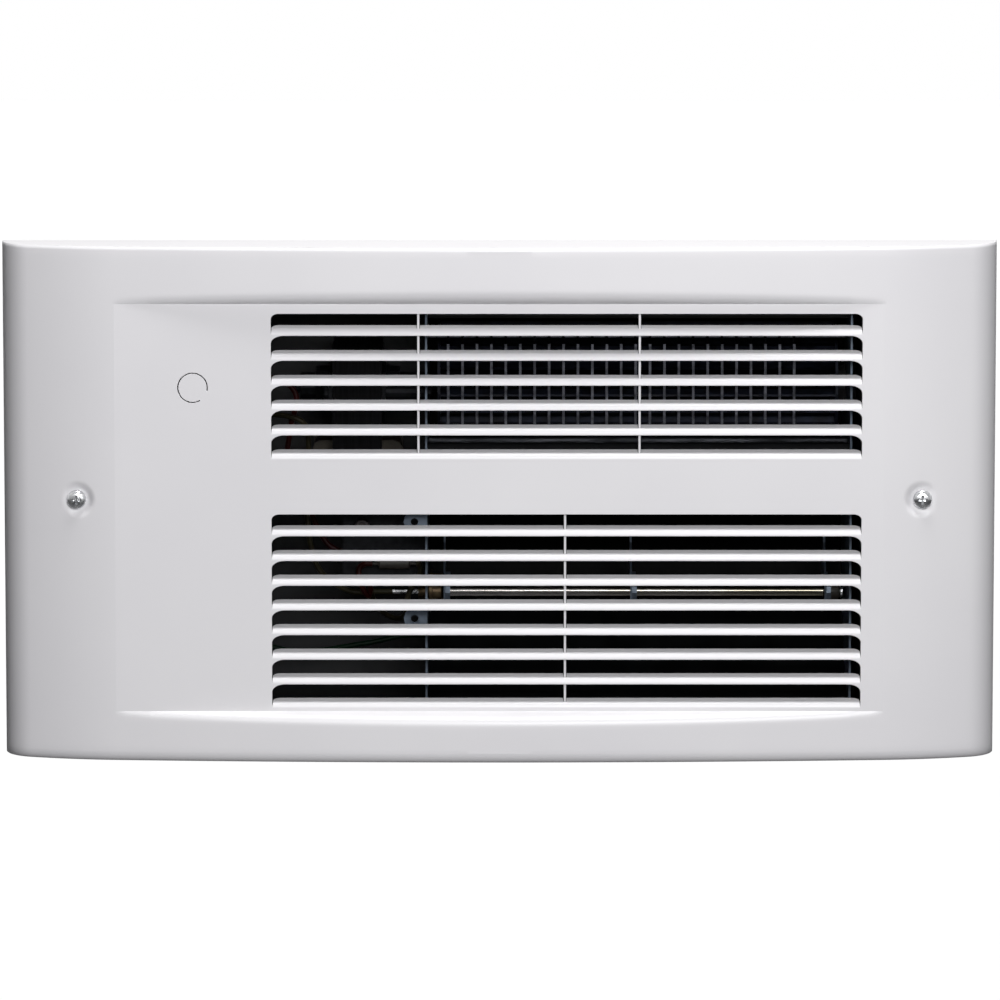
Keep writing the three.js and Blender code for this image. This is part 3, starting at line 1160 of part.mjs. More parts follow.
const fuseLead = () => wire([
  [FUSE_RIGHT + 3 + GAP, FUSE_Y, FUSE_Z], [FUSE_RIGHT + 5, FUSE_Y, FUSE_Z],
  [PLATE_OUTSIDE - 3, 0, FUSE_Z - 5.2], [PLATE_OUTSIDE - 8.5, -1, ELEMENT_Z + 2.4],
  [PLATE_OUTSIDE - 10.5, 6, ELEMENT_Z - 9.6], [PLATE_OUTSIDE - 16.5, ELEMENT_FRONT, ELEMENT_Z - 13.6],
  [TERMINAL_END - 9, ELEMENT_REAR - 10, ELEMENT_Z - 9.6], [TERMINAL_END - 11, ELEMENT_REAR, ELEMENT_Z],
  [TERMINAL_END, ELEMENT_REAR, ELEMENT_Z],
]);

const groundWire = () => {
  const start = GROUND_UNDER - GROUND.headHeight;
  const end = GROUND_UNDER - 22.7;
  return wire([
    [GROUND_X, start - GAP, GROUND_Z], [GROUND_X, start - 8, GROUND_Z],
    [GROUND_X + 12, end + 4, GROUND_Z - 12],
    [(GROUND_X + PLATE_OUTSIDE) / 2 - 11, end + 2, GROUND_Z - 28],
    [PLATE_OUTSIDE - 32, end, GROUND_Z - 24], [PLATE_OUTSIDE - 12, end, GROUND_Z - 20],
    [PLATE_OUTSIDE - GAP, end, GROUND_Z - 20],
  ]);
};

// ================================================================ materials and nodes
const finish = (color, roughness, metalness) => {
  return new THREE.MeshStandardMaterial({ color, roughness, metalness });
};
const COATED = finish(0xe2e0e1, 0.45, 0);
const GALVANISED = finish(0x9aa3ab, 0.4, 0.9);
const DARK_SHEET = finish(0x24262a, 0.5, 0.6);
const BRIGHT_STEEL = finish(0xc9ccd0, 0.25, 1);
const SHEATH = finish(0x8f8c86, 0.3, 1);
const LAMINATION = finish(0x5d6064, 0.5, 0.8);
const RUBBER = finish(0x1b1b1c, 0.85, 0);
const BRONZE = finish(0xb08a4e, 0.4, 0.9);
const WINDING = finish(0x8a4a22, 0.5, 0.3);
const NYLON = finish(0xe6ddc8, 0.5, 0);
const BAKELITE = finish(0x2a2320, 0.4, 0);
const RED = finish(0xa11f1c, 0.5, 0);
const WHITE = finish(0xd9d2b0, 0.5, 0);
const GREEN = finish(0x2f7d43, 0.5, 0);
const CERAMIC = finish(0xb79a77, 0.6, 0);

const heater = new THREE.Group();

function addNode(name, solid, material) {
  const mesh = new THREE.Mesh(geometryOf(solid), material);
  mesh.name = name;
  heater.add(mesh);
}

addNode('front_cover', frontCover(), COATED);
addNode('cover_screw_left', coverScrew(-1), BRIGHT_STEEL);
addNode('cover_screw_right', coverScrew(1), BRIGHT_STEEL);
addNode('wall_can', wallCan(), DARK_SHEET);
addNode('left_side_plate', leftSidePlate(), GALVANISED);
addNode('right_side_plate', rightSidePlate(), GALVANISED);
addNode('chassis_screw', chassisScrew(), BRIGHT_STEEL);
addNode('blower_scroll', blowerScroll(), DARK_SHEET);
addNode('blower_tongue', blowerTongue(), DARK_SHEET);
addNode('blower_wheel', blowerWheel(), GALVANISED);
addNode('intake_guard', intakeGuard(), BRIGHT_STEEL);
addNode('bearing_bush', bearingBush(), BRONZE);
addNode('bearing_grommet', bearingGrommet(), RUBBER);
addNode('motor_stator', motorStator(), LAMINATION);
addNode('motor_coil', motorCoil(), WINDING);
addNode('coil_bobbin', coilBobbin(), NYLON);
addNode('motor_rotor', motorRotor(), LAMINATION);
addNode('motor_shaft', motorShaft(), BRIGHT_STEEL);
addNode('motor_bridge_drive', motorBridge(1), GALVANISED);
addNode('motor_bridge_rear', motorBridge(-1), GALVANISED);
for (const [i, place] of motorScrewPlaces().entries()) {
  const side = ['front', 'back'][i];
  addNode(`motor_screw_${side}`, motorScrew(place), BRIGHT_STEEL);
  addNode(`motor_spacer_${side}`, motorSpacer(place), GALVANISED);
}
for (const [side, y] of Object.entries({ front: ELEMENT_FRONT, rear: ELEMENT_REAR })) {
  addNode(`heating_element_${side}`, heatingElement(y), SHEATH);
  addNode(`element_insulator_${side}`, elementInsulator(y), CERAMIC);
  addNode(`element_bushing_${side}`, elementBushing(y), BRONZE);
  addNode(`element_terminal_${side}`, elementTerminal(y), BRIGHT_STEEL);
}
addNode('element_link', elementLink(), BRIGHT_STEEL);
addNode('element_rail', elementRail(), GALVANISED);
for (const [i, side] of ['left', 'middle', 'right'].entries()) {
  addNode(`element_support_${side}`, elementSupport(SUPPORTS[i]), GALVANISED);
}
addNode('limit_bracket', limitBracket(), GALVANISED);
addNode('limit_switch', limitSwitch(), BAKELITE);
addNode('reset_button', resetButton(), RED);
addNode('thermal_fuse', thermalFuse(), CERAMIC);
addNode('terminal_block', terminalBlock(), NYLON);
addNode('cable_clamp', cableClamp(), BRIGHT_STEEL);
addNode('clamp_locknut', clampLocknut(), BRIGHT_STEEL);
addNode('ground_screw', groundScrew(), GREEN);
addNode('supply_lead_red', supplyLeadRed(), RED);
addNode('supply_lead_white', supplyLeadWhite(), WHITE);
addNode('limit_lead', limitLead(), RED);
addNode('fuse_lead', fuseLead(), WHITE);
addNode('ground_wire', groundWire(), GREEN);

export default heater;
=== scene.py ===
"""Looks of the recessed wall fan heater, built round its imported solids."""
import json
import math

import bmesh
import bpy
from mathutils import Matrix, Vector


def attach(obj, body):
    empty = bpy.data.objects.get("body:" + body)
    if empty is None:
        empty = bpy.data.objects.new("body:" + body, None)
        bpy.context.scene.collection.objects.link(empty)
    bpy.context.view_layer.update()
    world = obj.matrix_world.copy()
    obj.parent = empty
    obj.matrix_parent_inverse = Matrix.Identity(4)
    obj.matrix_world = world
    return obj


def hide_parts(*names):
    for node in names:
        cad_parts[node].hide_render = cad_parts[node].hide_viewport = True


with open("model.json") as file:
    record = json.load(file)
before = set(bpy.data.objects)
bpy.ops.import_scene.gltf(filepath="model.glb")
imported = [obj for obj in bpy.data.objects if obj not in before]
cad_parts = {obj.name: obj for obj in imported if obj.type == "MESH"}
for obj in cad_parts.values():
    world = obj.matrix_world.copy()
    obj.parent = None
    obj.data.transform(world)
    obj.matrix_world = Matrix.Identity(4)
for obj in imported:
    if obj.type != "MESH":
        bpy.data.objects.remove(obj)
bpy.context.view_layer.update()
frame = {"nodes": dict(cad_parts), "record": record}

MM = 0.001
NODES = frame["nodes"]

# ------------------------------------------------------------------ sizes of the cover, in mm
# They are the solids' sizes, apart from EDGE_BEND, STEP_POWER, the lips' bend and tail, and the
# ties, which here are as the photograph shows them.
HALF_WIDTH = 250.825
COVER_TOP, COVER_BOTTOM = 130.175, -131.675
COVER_DEPTH = 38.1
SHEET = 1.0
EDGE_BEND, HEM_BEND = 1.8, 5.5  # outer bend radii along the top and the bottom
BOW_RADIUS = 2500.0
SHOULDER_RADIUS = 180.0
SHOULDER_WIDTH = 44.5
CORNER_WIDTH = 12.8
SIDE_EDGE = 2.2  # straight part of the sides, next to the wall
STEP_RUN, STEP_END_RUN = 10.0, 6.0  # height of the steps in the middle and at their tips
STEP_POWER = 4.5  # a step deepens with this power of the way down it
PANEL_TOP = COVER_TOP - 28.9
PANEL_BOTTOM = COVER_BOTTOM + 25.9
BOW_HALF = HALF_WIDTH - CORNER_WIDTH - SHOULDER_WIDTH
BOW_TILT = math.asin(BOW_HALF / BOW_RADIUS)
SHOULDER_TILT = math.asin(math.sin(BOW_TILT) + SHOULDER_WIDTH / SHOULDER_RADIUS)
PANEL_SETBACK = BOW_RADIUS * (1 - math.cos(BOW_TILT))
PANEL_FRONT = -(COVER_DEPTH - PANEL_SETBACK)
GRILLE_RIGHT = HALF_WIDTH - 68.6
GRILLE_LEFT = GRILLE_RIGHT - 297.0
PITCH, FIRST_PITCH, STRIP = 12.6, 11.1, 1.5
UPPER_FIRST = COVER_TOP - 33.9
LOWER_LAST = COVER_BOTTOM + 27.0
FIRST_CORNER, CORNER = (3.8, 2.8), (6.4, 3.9)  # rounding of the openings, across and up
CURL_RADIUS, CURL_ANGLE, TAIL = 3.4, math.radians(79), 4.4
CURL_DROP = 1.1  # the bend of a lip starts just above the opening below
LIP_ROOM, LIP_CORNER = 0.35, (3.6, 4.6)  # a lip's ends: gap, and rounding across and along
TIE_DEPTH, TIE_HALF, TIE_ROOM = 2.1, 0.6, 0.22
TIE_BEVEL = 0.35
SCREW_X, SCREW_Z = HALF_WIDTH - 37.8, 1.8
SCREW_TILT = math.asin(math.sin(BOW_TILT) + (SCREW_X - BOW_HALF) / SHOULDER_RADIUS)
SEAT_DEPTH, SEAT_FLAT, SEAT_RISE = 1.4, 5.4, 4.0  # the dimple under a screw
SCREW_SEAT_Y = (
    PANEL_FRONT + SHOULDER_RADIUS * (math.cos(BOW_TILT) - math.cos(SCREW_TILT)) + SEAT_DEPTH
)
PLATE = {"x": (-176.0, 188.0), "z": (-105.5, 101.0)}  # the flat part, made on its own
PLATE_EDGE = 0.16  # bevel round the plate's openings
KNOCKOUT = {"x": GRILLE_LEFT - 39.4, "z": COVER_TOP - 71.3, "radius": 7.65, "slit": 0.5}
KNOCKOUT_CUT = (math.radians(-12), math.radians(300))


# ------------------------------------------------------------------ mesh helpers
def linked(name, data):
    piece = bpy.data.objects.new(name, data)
    bpy.context.scene.collection.objects.link(piece)
    return piece


def new_object(name, points, faces):
    mesh = bpy.data.meshes.new(name)
    mesh.from_pydata([tuple(c * MM for c in p) for p in points], [], faces)
    mesh.update()
    return linked(name, mesh)


def smooth(piece, degrees=35):
    for polygon in piece.data.polygons:
        polygon.use_smooth = True
    piece.data.set_sharp_from_angle(angle=math.radians(degrees))


def weld(piece, distance=0.001):
    work = bmesh.new()
    work.from_mesh(piece.data)
    bmesh.ops.remove_doubles(work, verts=work.verts, dist=distance * MM)
    bmesh.ops.recalc_face_normals(work, faces=work.faces)
    work.to_mesh(piece.data)
    work.free()


def merge(name, pieces):
    work = bmesh.new()
    for piece in pieces:
        work.from_mesh(piece.data)
        bpy.data.objects.remove(piece)
    mesh = bpy.data.meshes.new(name)
    work.to_mesh(mesh)
    work.free()
    return linked(name, mesh)


def closed_grid(name, outer, inner):
    """A sheet between two equal grids of points, closed along its four borders."""
    rows, columns = len(outer), len(outer[0])
    points = [p for grid in (outer, inner) for row in grid for p in row]

    def at(layer, i, j):
        return layer * rows * columns + i * columns + j

    faces = []
    for i in range(rows - 1):
        for j in range(columns - 1):
            faces.append((at(0, i, j), at(0, i, j + 1), at(0, i + 1, j + 1), at(0, i + 1, j)))
            faces.append((at(1, i, j), at(1, i + 1, j), at(1, i + 1, j + 1), at(1, i, j + 1)))
    for i in range(rows - 1):
        for j in (0, columns - 1):
            faces.append((at(0, i, j), at(0, i + 1, j), at(1, i + 1, j), at(1, i, j)))
    for j in range(columns - 1):
        for i in (0, rows - 1):
            faces.append((at(0, i, j), at(1, i, j), at(1, i, j + 1), at(0, i, j + 1)))
    return new_object(name, points, faces)


def turned(name, axis, centre, profile, sides=48):
    """A closed profile of (radius, distance along the axis) turned about an axis."""
    u, v = centre
    points, faces = [], []
    for k in range(sides):
        angle = 2 * math.pi * k / sides
        for radius, along in profile:
            a, b = u + radius * math.cos(angle), v + radius * math.sin(angle)
            points.append({"x": (along, a, b), "y": (a, along, b), "z": (a, b, along)}[axis])
    count = len(profile)
    for k in range(sides):
        here, beside = k * count, (k + 1) % sides * count
        for j in range(count):
            below = (j + 1) % count
            faces.append((here + j, here + below, beside + below, beside + j))
    piece = new_object(name, points, faces)
    weld(piece)
    smooth(piece, 30)
    return piece


def centripetal(points, samples):
    """Points along a centripetal Catmull-Rom curve, as the solids' wires follow."""
    pts = [Vector(p) for p in points]
    first = pts[0] * 2 - pts[1]
    last = pts[-1] * 2 - pts[-2]
    path = []
    for i in range(len(pts) - 1):
        p0 = pts[i - 1] if i else first
        p1, p2 = pts[i], pts[i + 1]
        p3 = pts[i + 2] if i + 2 < len(pts) else last
        t1, t2, t3 = ((a - b).length ** 0.5 for a, b in ((p0, p1), (p1, p2), (p2, p3)))
        m1 = ((p1 - p0) / t1 - (p2 - p0) / (t1 + t2) + (p2 - p1) / t2) * t2
        m2 = ((p2 - p1) / t2 - (p3 - p1) / (t2 + t3) + (p3 - p2) / t3) * t2
        steps = samples if i < len(pts) - 2 else samples + 1
        for k in range(steps):
            t = k / samples
            h = (2 * t**3 - 3 * t**2 + 1, t**3 - 2 * t**2 + t, 3 * t**2 - 2 * t**3, t**3 - t**2)
            path.append(p1 * h[0] + m1 * h[1] + p2 * h[2] + m2 * h[3])
    return path


def tube(name, path, diameter, sides=16):
    """A round closed tube along the points of a path."""
    points, faces = [], []
    side = None
    for i, p in enumerate(path):
        along = (path[min(i + 1, len(path) - 1)] - path[max(i - 1, 0)]).normalized()
        if side is None:
            side = along.orthogonal().normalized()
        side = (side - along * side.dot(along)).normalized()
        up = along.cross(side)
        for k in range(sides):
            angle = 2 * math.pi * k / sides
            points.append(p + (side * math.cos(angle) + up * math.sin(angle)) * diameter / 2)
    for start in range(0, (len(path) - 1) * sides, sides):
        end = start + sides
        for k in range(sides):
            beside = (k + 1) % sides
            faces.append((start + k, start + beside, end + beside, end + k))
    faces.append(tuple(range(sides)))
    faces.append(tuple((len(path) - 1) * sides + k for k in range(sides)))
    piece = new_object(name, points, faces)
    weld(piece)
    smooth(piece, 40)
    return piece


# ------------------------------------------------------------------ cover
BOW_PARTS, SHOULDER_PARTS, CORNER_PARTS = 12, 54, 14
STEP_PARTS, RIM_PARTS, FLAT_PARTS, PANEL_PARTS = 16, 8, 5, 8
CURL_PARTS, TAIL_PARTS = 12, 10
SEAT_HALF = 10  # rows lie 1 mm apart this far above and below a screw
FACE_FRONT, PANEL_ZONE = -12, -20  # only what lies in front is the face, or the panel


def plan_stations():
    """The plan of the cover: place on the outer face, depth and tilt, from left to right."""
    right = []
    bow_places = [BOW_HALF * i / BOW_PARTS for i in range(BOW_PARTS + 1)]
    bow_places += [PLATE["x"][1], -PLATE["x"][0]]
    for x in bow_places:
        tilt = math.asin(x / BOW_RADIUS)
        right.append((x, COVER_DEPTH - BOW_RADIUS * (1 - math.cos(tilt)), tilt))
    for i in range(SHOULDER_PARTS):
        x = BOW_HALF + SHOULDER_WIDTH * (i + 1) / SHOULDER_PARTS
        tilt = math.asin(math.sin(BOW_TILT) + (x - BOW_HALF) / SHOULDER_RADIUS)
        fall = SHOULDER_RADIUS * (math.cos(BOW_TILT) - math.cos(tilt))
        right.append((x, COVER_DEPTH - PANEL_SETBACK - fall, tilt))
    right.sort()
    start_x, start_depth, _ = right[-1]
    corner_depth = start_depth - SIDE_EDGE
    radius = CORNER_WIDTH / (1 - math.sin(SHOULDER_TILT))
    for i in range(1, CORNER_PARTS + 1):
        tilt = SHOULDER_TILT + (math.pi / 2 - SHOULDER_TILT) * i / CORNER_PARTS
        x = start_x + radius * (math.sin(tilt) - math.sin(SHOULDER_TILT))
        depth = SIDE_EDGE + corner_depth * math.cos(tilt) / math.cos(SHOULDER_TILT)
        right.append((x, depth, tilt))
    right.append((HALF_WIDTH, 0.0, math.pi / 2))
    left = [(-x, depth, -tilt) for x, depth, tilt in reversed(right[1:])]
    return left + right


def panel_rows():
    """Heights of the rows between the two steps, close together round the screws."""
    low, high = PLATE["z"]
    rows = [high, low]
    rows += [SCREW_Z - SEAT_HALF + i for i in range(2 * SEAT_HALF + 1)]
    for i in range(1, PANEL_PARTS):
        share = i / PANEL_PARTS
        rows.append(SCREW_Z + SEAT_HALF + (high - SCREW_Z - SEAT_HALF) * share)
        rows.append(SCREW_Z - SEAT_HALF + (low - SCREW_Z + SEAT_HALF) * share)
    return sorted(rows, reverse=True)


def cover_rim(front, reach, radius, inset):
    """The bend from the wall edge at a reach above or below the origin over to the front."""
    bend = min(radius - inset, front)
    rim = [(0.0, reach - inset)]
    for i in range(RIM_PARTS + 1):
        angle = i / RIM_PARTS * math.pi / 2
        rise = reach - inset - bend * (1 - math.cos(angle))
        rim.append((front - bend * (1 - math.sin(angle)), rise))
    return rim


def spaced(front, top, bottom):
    """Rows between two heights of the front, without its ends."""
    return [(front, top + (bottom - top) * i / FLAT_PARTS) for i in range(1, FLAT_PARTS)]


def cover_section(x, depth, tilt, inset):
    """One upright section of the cover's outer face, or of its inner face by an inset."""
    on_wall = depth == 0
    across = x - inset * math.sin(tilt)
    front = 0.0 if on_wall else depth - inset * math.cos(tilt)
    setback = max(0.0, PANEL_SETBACK - (COVER_DEPTH - depth))
    share = 0.0 if on_wall else setback / PANEL_SETBACK
    run = STEP_END_RUN + (STEP_RUN - STEP_END_RUN) * share
    top = cover_rim(front, COVER_TOP, EDGE_BEND, inset)
    hem = cover_rim(front, -COVER_BOTTOM, HEM_BEND, inset)
    step = []
    for i in range(STEP_PARTS + 1):
        along = i / STEP_PARTS
        slope = math.atan(STEP_POWER * setback * along**(STEP_POWER - 1) / run)
        rise = (1 - along) * run + inset * math.tan(slope / 2)
        step.append((front - setback * along**STEP_POWER, rise))
    brow = spaced(front, top[-1][1], PANEL_TOP + step[0][1])
    upper = [(y, PANEL_TOP + rise) for y, rise in step]
    panel = [(front - setback, z) for z in panel_rows()]
    lower = [(y, PANEL_BOTTOM - rise) for y, rise in reversed(step)]
    apron = spaced(front, PANEL_BOTTOM - step[0][1], -hem[-1][1])
    bottom = [(y, -z) for y, z in reversed(hem)]
    line = top + brow + upper + panel + lower + apron + bottom
    return [dimpled(across, -y, z, inset) for y, z in line]


def dimpled(x, y, z, inset):
    """Presses the seat of a screw into the face."""
    reach = math.hypot(abs(x) - SCREW_X, z - SCREW_Z)
    if reach > SEAT_FLAT + SEAT_RISE or y > FACE_FRONT:
        return (x, y, z)
    share = min(max((reach - SEAT_FLAT) / SEAT_RISE, 0.0), 1.0)
    share = share * share * (3 - 2 * share)
    seat = SCREW_SEAT_Y + inset
    return (x, seat + (y - seat) * share, z)


def cover_shell():
    """The bowed sheet, open where the panel's flat plate goes."""
    stations = plan_stations()
    outer = [cover_section(*s, 0) for s in stations]
    inner = [cover_section(*s, SHEET) for s in stations]
    shell = closed_grid("cover_shell", outer, inner)
    (x0, x1), (z0, z1) = PLATE["x"], PLATE["z"]
    work = bmesh.new()
    work.from_mesh(shell.data)
    inside = []
    for face in work.faces:
        c = face.calc_center_median() / MM
        if x0 < c.x < x1 and z0 < c.z < z1 and c.y < PANEL_ZONE:
            inside.append(face)
    bmesh.ops.delete(work, geom=inside, context="FACES")
    work.to_mesh(shell.data)
    work.free()
    weld(shell)
    return shell


def louvre_rows(first_top, count):
    """Top edge, lip's root and corner rounding of each opening, from the top down."""
    tops = [first_top] + [first_top - FIRST_PITCH - i * PITCH for i in range(count)]
    corners = [FIRST_CORNER] + [CORNER] * (count - 1)
    return [(tops[i], tops[i + 1] + STRIP, corners[i]) for i in range(count)]


UPPER = louvre_rows(UPPER_FIRST, 6)
LOWER = louvre_rows(LOWER_LAST + FIRST_PITCH + 7 * PITCH, 8)
UPPER_TIES = [GRILLE_LEFT + 74, GRILLE_LEFT + 185.2]
LOWER_TIES = [GRILLE_LEFT + 147.8]


def arc(u, v, a, b, start, end, parts):
    turns = [start + (end - start) * i / parts for i in range(parts + 1)]
    return [(u + a * math.cos(t), v + b * math.sin(t)) for t in turns]


def panel_plate():
    """The flat panel with its openings and the uncut disc, from a filled flat curve."""
    # The frame is larger by its own bevel, which then hides under the shell.
    x0, x1 = PLATE["x"][0] - PLATE_EDGE, PLATE["x"][1] + PLATE_EDGE
    z0, z1 = PLATE["z"][0] - PLATE_EDGE, PLATE["z"][1] + PLATE_EDGE
    loops = [[(x0, z0), (x1, z0), (x1, z1), (x0, z1)]]
    for top, root, (w, h) in UPPER + LOWER:
        foot = root - CURL_DROP - 0.05
        loop = [(GRILLE_LEFT, foot), (GRILLE_RIGHT, foot)]
        loop += arc(GRILLE_RIGHT - w, top - h, w, h, 0, math.pi / 2, 10)
        loop += arc(GRILLE_LEFT + w, top - h, w, h, math.pi / 2, math.pi, 10)
        loops.append(loop)
    x, z, outer = KNOCKOUT["x"], KNOCKOUT["z"], KNOCKOUT["radius"]
    inner = outer - KNOCKOUT["slit"]
    start, end = KNOCKOUT_CUT
    loops.append(arc(x, z, outer, outer, start, end, 48) + arc(x, z, inner, inner, end, start, 48))
    curve = bpy.data.curves.new("panel", "CURVE")
    curve.dimensions = "2D"
    curve.fill_mode = "BOTH"
    curve.extrude = SHEET / 2 - PLATE_EDGE
    curve.bevel_depth = PLATE_EDGE
    curve.bevel_resolution = 1
    curve.offset = -PLATE_EDGE
    for loop in loops:
        spline = curve.splines.new("POLY")
        spline.points.add(len(loop) - 1)
        for point, (u, v) in zip(spline.points, loop):
            point.co = (u, v, 0, 1)
        spline.use_cyclic_u = True
    holder = linked("panel", curve)
    graph = bpy.context.evaluated_depsgraph_get()
    flat = bpy.data.meshes.new_from_object(holder.evaluated_get(graph))
    bpy.data.objects.remove(holder)
    points = [(v.co.x, PANEL_FRONT + SHEET / 2 - v.co.z, v.co.y) for v in flat.vertices]
    faces = [tuple(p.vertices) for p in flat.polygons]
    plate = new_object("panel_plate", points, faces)
    weld(plate)
    return plate


def lip_stations():
    """Along a lip from its root: bend angle, way along the tail, whole way, and sinking."""
    stations = [(0.0, 0.0, 0.0, 0.25)]
    for i in range(CURL_PARTS + 1):
        angle = i / CURL_PARTS * CURL_ANGLE
        stations.append((angle, 0.0, CURL_RADIUS * angle, 0.0))
    for i in range(1, TAIL_PARTS + 1):
        tail = i / TAIL_PARTS * TAIL
        stations.append((CURL_ANGLE, tail, CURL_RADIUS * CURL_ANGLE + tail, 0.0))
    return stations


def lip_grid(root, left, right, inset):
    """Points of one piece of a lip. An end without a tie is rounded, one at a tie is slit."""
    across, rounded = LIP_CORNER
    length = CURL_RADIUS * CURL_ANGLE + TAIL
    slit_from = CURL_RADIUS * (CURL_ANGLE - 0.3)
    radius = CURL_RADIUS - inset
    rows = []
    for angle, tail, along, sunk in lip_stations():
        y = PANEL_FRONT - 0.015 + CURL_RADIUS - radius * math.cos(angle)
        y += tail * math.sin(angle)
        z = root - sunk + radius * math.sin(angle) + tail * math.cos(angle)
        tip = max(0.0, (along - (length - rounded)) / rounded)
        free = min(1.0, along / 3.0)
        narrow = LIP_ROOM * free + across * (1 - math.sqrt(max(0.0, 1 - tip * tip)))
        slit = TIE_HALF + TIE_ROOM if along > slit_from else 0.0
        x0 = GRILLE_LEFT + narrow if left is None else left + slit
        x1 = GRILLE_RIGHT - narrow if right is None else right - slit
        rows.append([(x0, y, z), (x1, y, z)])
    return rows


def flap(root, places):
    """One curled lip, in the pieces that its ties leave."""
    root = root - CURL_DROP
    bounds = [None] + places + [None]
    pieces = []
    for left, right in zip(bounds, bounds[1:]):
        outer, inner = lip_grid(root, left, right, 0.0), lip_grid(root, left, right, SHEET)
        pieces.append(closed_grid("flap", outer, inner))
        weld(pieces[-1])
    return pieces


def box_piece(name, low, high):
    (x0, y0, z0), (x1, y1, z1) = low, high
    corners = [(x, y, z) for x in (x0, x1) for y in (y0, y1) for z in (z0, z1)]
    faces = [(0, 1, 3, 2), (4, 6, 7, 5), (0, 4, 5, 1), (2, 3, 7, 6), (0, 2, 6, 4), (1, 5, 7, 3)]
    piece = new_object(name, corners, faces)
    weld(piece)
    return piece


def bevelled(piece, width):
    work = bmesh.new()
    work.from_mesh(piece.data)
    bmesh.ops.bevel(work, geom=work.edges[:], offset=width * MM, segments=2, profile=0.5,
                    affect="EDGES", clamp_overlap=True)
    work.to_mesh(piece.data)
    work.free()
    return piece


def ties():
    pieces = []
    for places, rows in ((UPPER_TIES, UPPER), (LOWER_TIES, LOWER)):
        for x in places:
            low = (x - TIE_HALF, PANEL_FRONT + TIE_DEPTH, rows[-1][1] - CURL_DROP)
            high = (x + TIE_HALF, PANEL_FRONT + TIE_DEPTH + SHEET, rows[0][0] + STRIP)
            pieces.append(bevelled(box_piece("tie", low, high), TIE_BEVEL))
    return pieces


def cover():
    """The whole cover as one piece, flat shaded where it faces straight ahead."""
    pieces = [cover_shell(), panel_plate()]
    for rows, places in ((UPPER, UPPER_TIES), (LOWER, LOWER_TIES)):
        for _, root, _ in rows:
            pieces += flap(root, places)
    pieces += ties()
    whole = merge("bowed_cover", pieces)
    smooth(whole, 32)
    for polygon in whole.data.polygons:
        if abs(polygon.normal.y) > 0.99999:
            polygon.use_smooth = False
    return whole


RECESS_SPAN, RECESS_SLOT, RECESS_DEPTH = 5.2, 1.25, 1.9
RECESS_TAPER = (1.12, 0.62)  # share of the span, just before the face and at the bottom
HEAD_RADIUS, HEAD_HEIGHT = 4.8, 2.9


def cross_recess(screw, x, z, face):
    """Cuts a tapered cross into the head of a screw."""
    for span, slot in ((RECESS_SPAN, RECESS_SLOT), (RECESS_SLOT, RECESS_SPAN)):
        points = []
        for y, share in zip((face - 1, face + RECESS_DEPTH), RECESS_TAPER):
            u = span / 2 * share if span > slot else span / 2
            w = slot / 2 * share if slot > span else slot / 2
            for sx, sz in ((-1, -1), (1, -1), (1, 1), (-1, 1)):
                points.append((x + sx * u, y, z + sz * w))
        faces = [(0, 1, 2, 3), (7, 6, 5, 4), (0, 4, 5, 1), (1, 5, 6, 2), (2, 6, 7, 3), (3, 7, 4, 0)]
        cutter = new_object("cutter", points, faces)
        weld(cutter)
        cut = screw.modifiers.new("cut", "BOOLEAN")
        cut.operation, cut.object, cut.solver = "DIFFERENCE", cutter, "EXACT"
        graph = bpy.context.evaluated_depsgraph_get()
        mesh = bpy.data.meshes.new_from_object(screw.evaluated_get(graph))
        screw.modifiers.clear()
        screw.data = mesh
        bpy.data.objects.remove(cutter)


def cover_screw(side):
    """A pan head screw in its dimple, left at side -1 and right at side 1."""
    x, z = side * SCREW_X, SCREW_Z
    under = SCREW_SEAT_Y - 0.3
    face = under - HEAD_HEIGHT
    profile = [(0, face)]
    for i in range(1, 11):
        angle = i / 10 * math.pi / 2
        radius = HEAD_RADIUS * (0.42 + 0.58 * math.sin(angle))
        profile.append((radius, face + 0.15 + 1.9 * (1 - math.cos(angle))))
    profile += [(HEAD_RADIUS, under), (1.75, under), (1.75, 4), (0.4, 6), (0, 6)]
    screw = turned("pan_screw", "y", (x, z), profile, 64)
    cross_recess(screw, x, z, face)
    smooth(screw, 30)
    return screw


# ------------------------------------------------------------------ pieces behind the grilles
# All places are those of the solids, which these rounder pieces replace.
LEFT_PLATE, RIGHT_PLATE = -36.5, 177.0
PLATE_OUTSIDE = LEFT_PLATE - 1
AXIS_Z = 50.0
ELEMENT_Z = -52.4
ELEMENT_Y = {"front": 20.0, "rear": 52.0}
SHEATH = (LEFT_PLATE + 7.5, RIGHT_PLATE - 2 - 1 - 5.6 - 0.6)
LIMIT_X, LIMIT_Z = PLATE_OUTSIDE - 32.3, -16.8
FUSE_X, FUSE_Y, FUSE_Z = (PLATE_OUTSIDE - 23.8, PLATE_OUTSIDE - 8.2), 4.9, -35.8
TERMINAL_END = PLATE_OUTSIDE - 17.3
TAB_Y, TAB_FOOT = 22.8, LIMIT_Z - 3.3
BLOCK_RIGHT = -164.7
DROP_X = PLATE_OUTSIDE - 65.4
LEAD = 2.8


def sheath_rod(y):
    left, right = SHEATH
    profile = [(0, left), (3.3, left), (3.6, left + 0.6), (4.0, left + 2), (4.1, left + 3)]
    profile += [(4.1, right - 3), (4.0, right - 2), (3.6, right - 0.6), (3.3, right), (0, right)]
    return turned("sheath_rod", "x", (y, ELEMENT_Z), profile, 64)


def insulator(y):
    left, right = SHEATH[1] + 0.3, SHEATH[1] + 5.9
    profile = [(1.6, left), (3.5, left), (3.8, left + 0.3), (3.8, right - 1.4), (3.4, right - 0.5)]
    profile += [(2.4, right), (1.6, right)]
    return turned("bead_insulator", "x", (y, ELEMENT_Z), profile, 48)


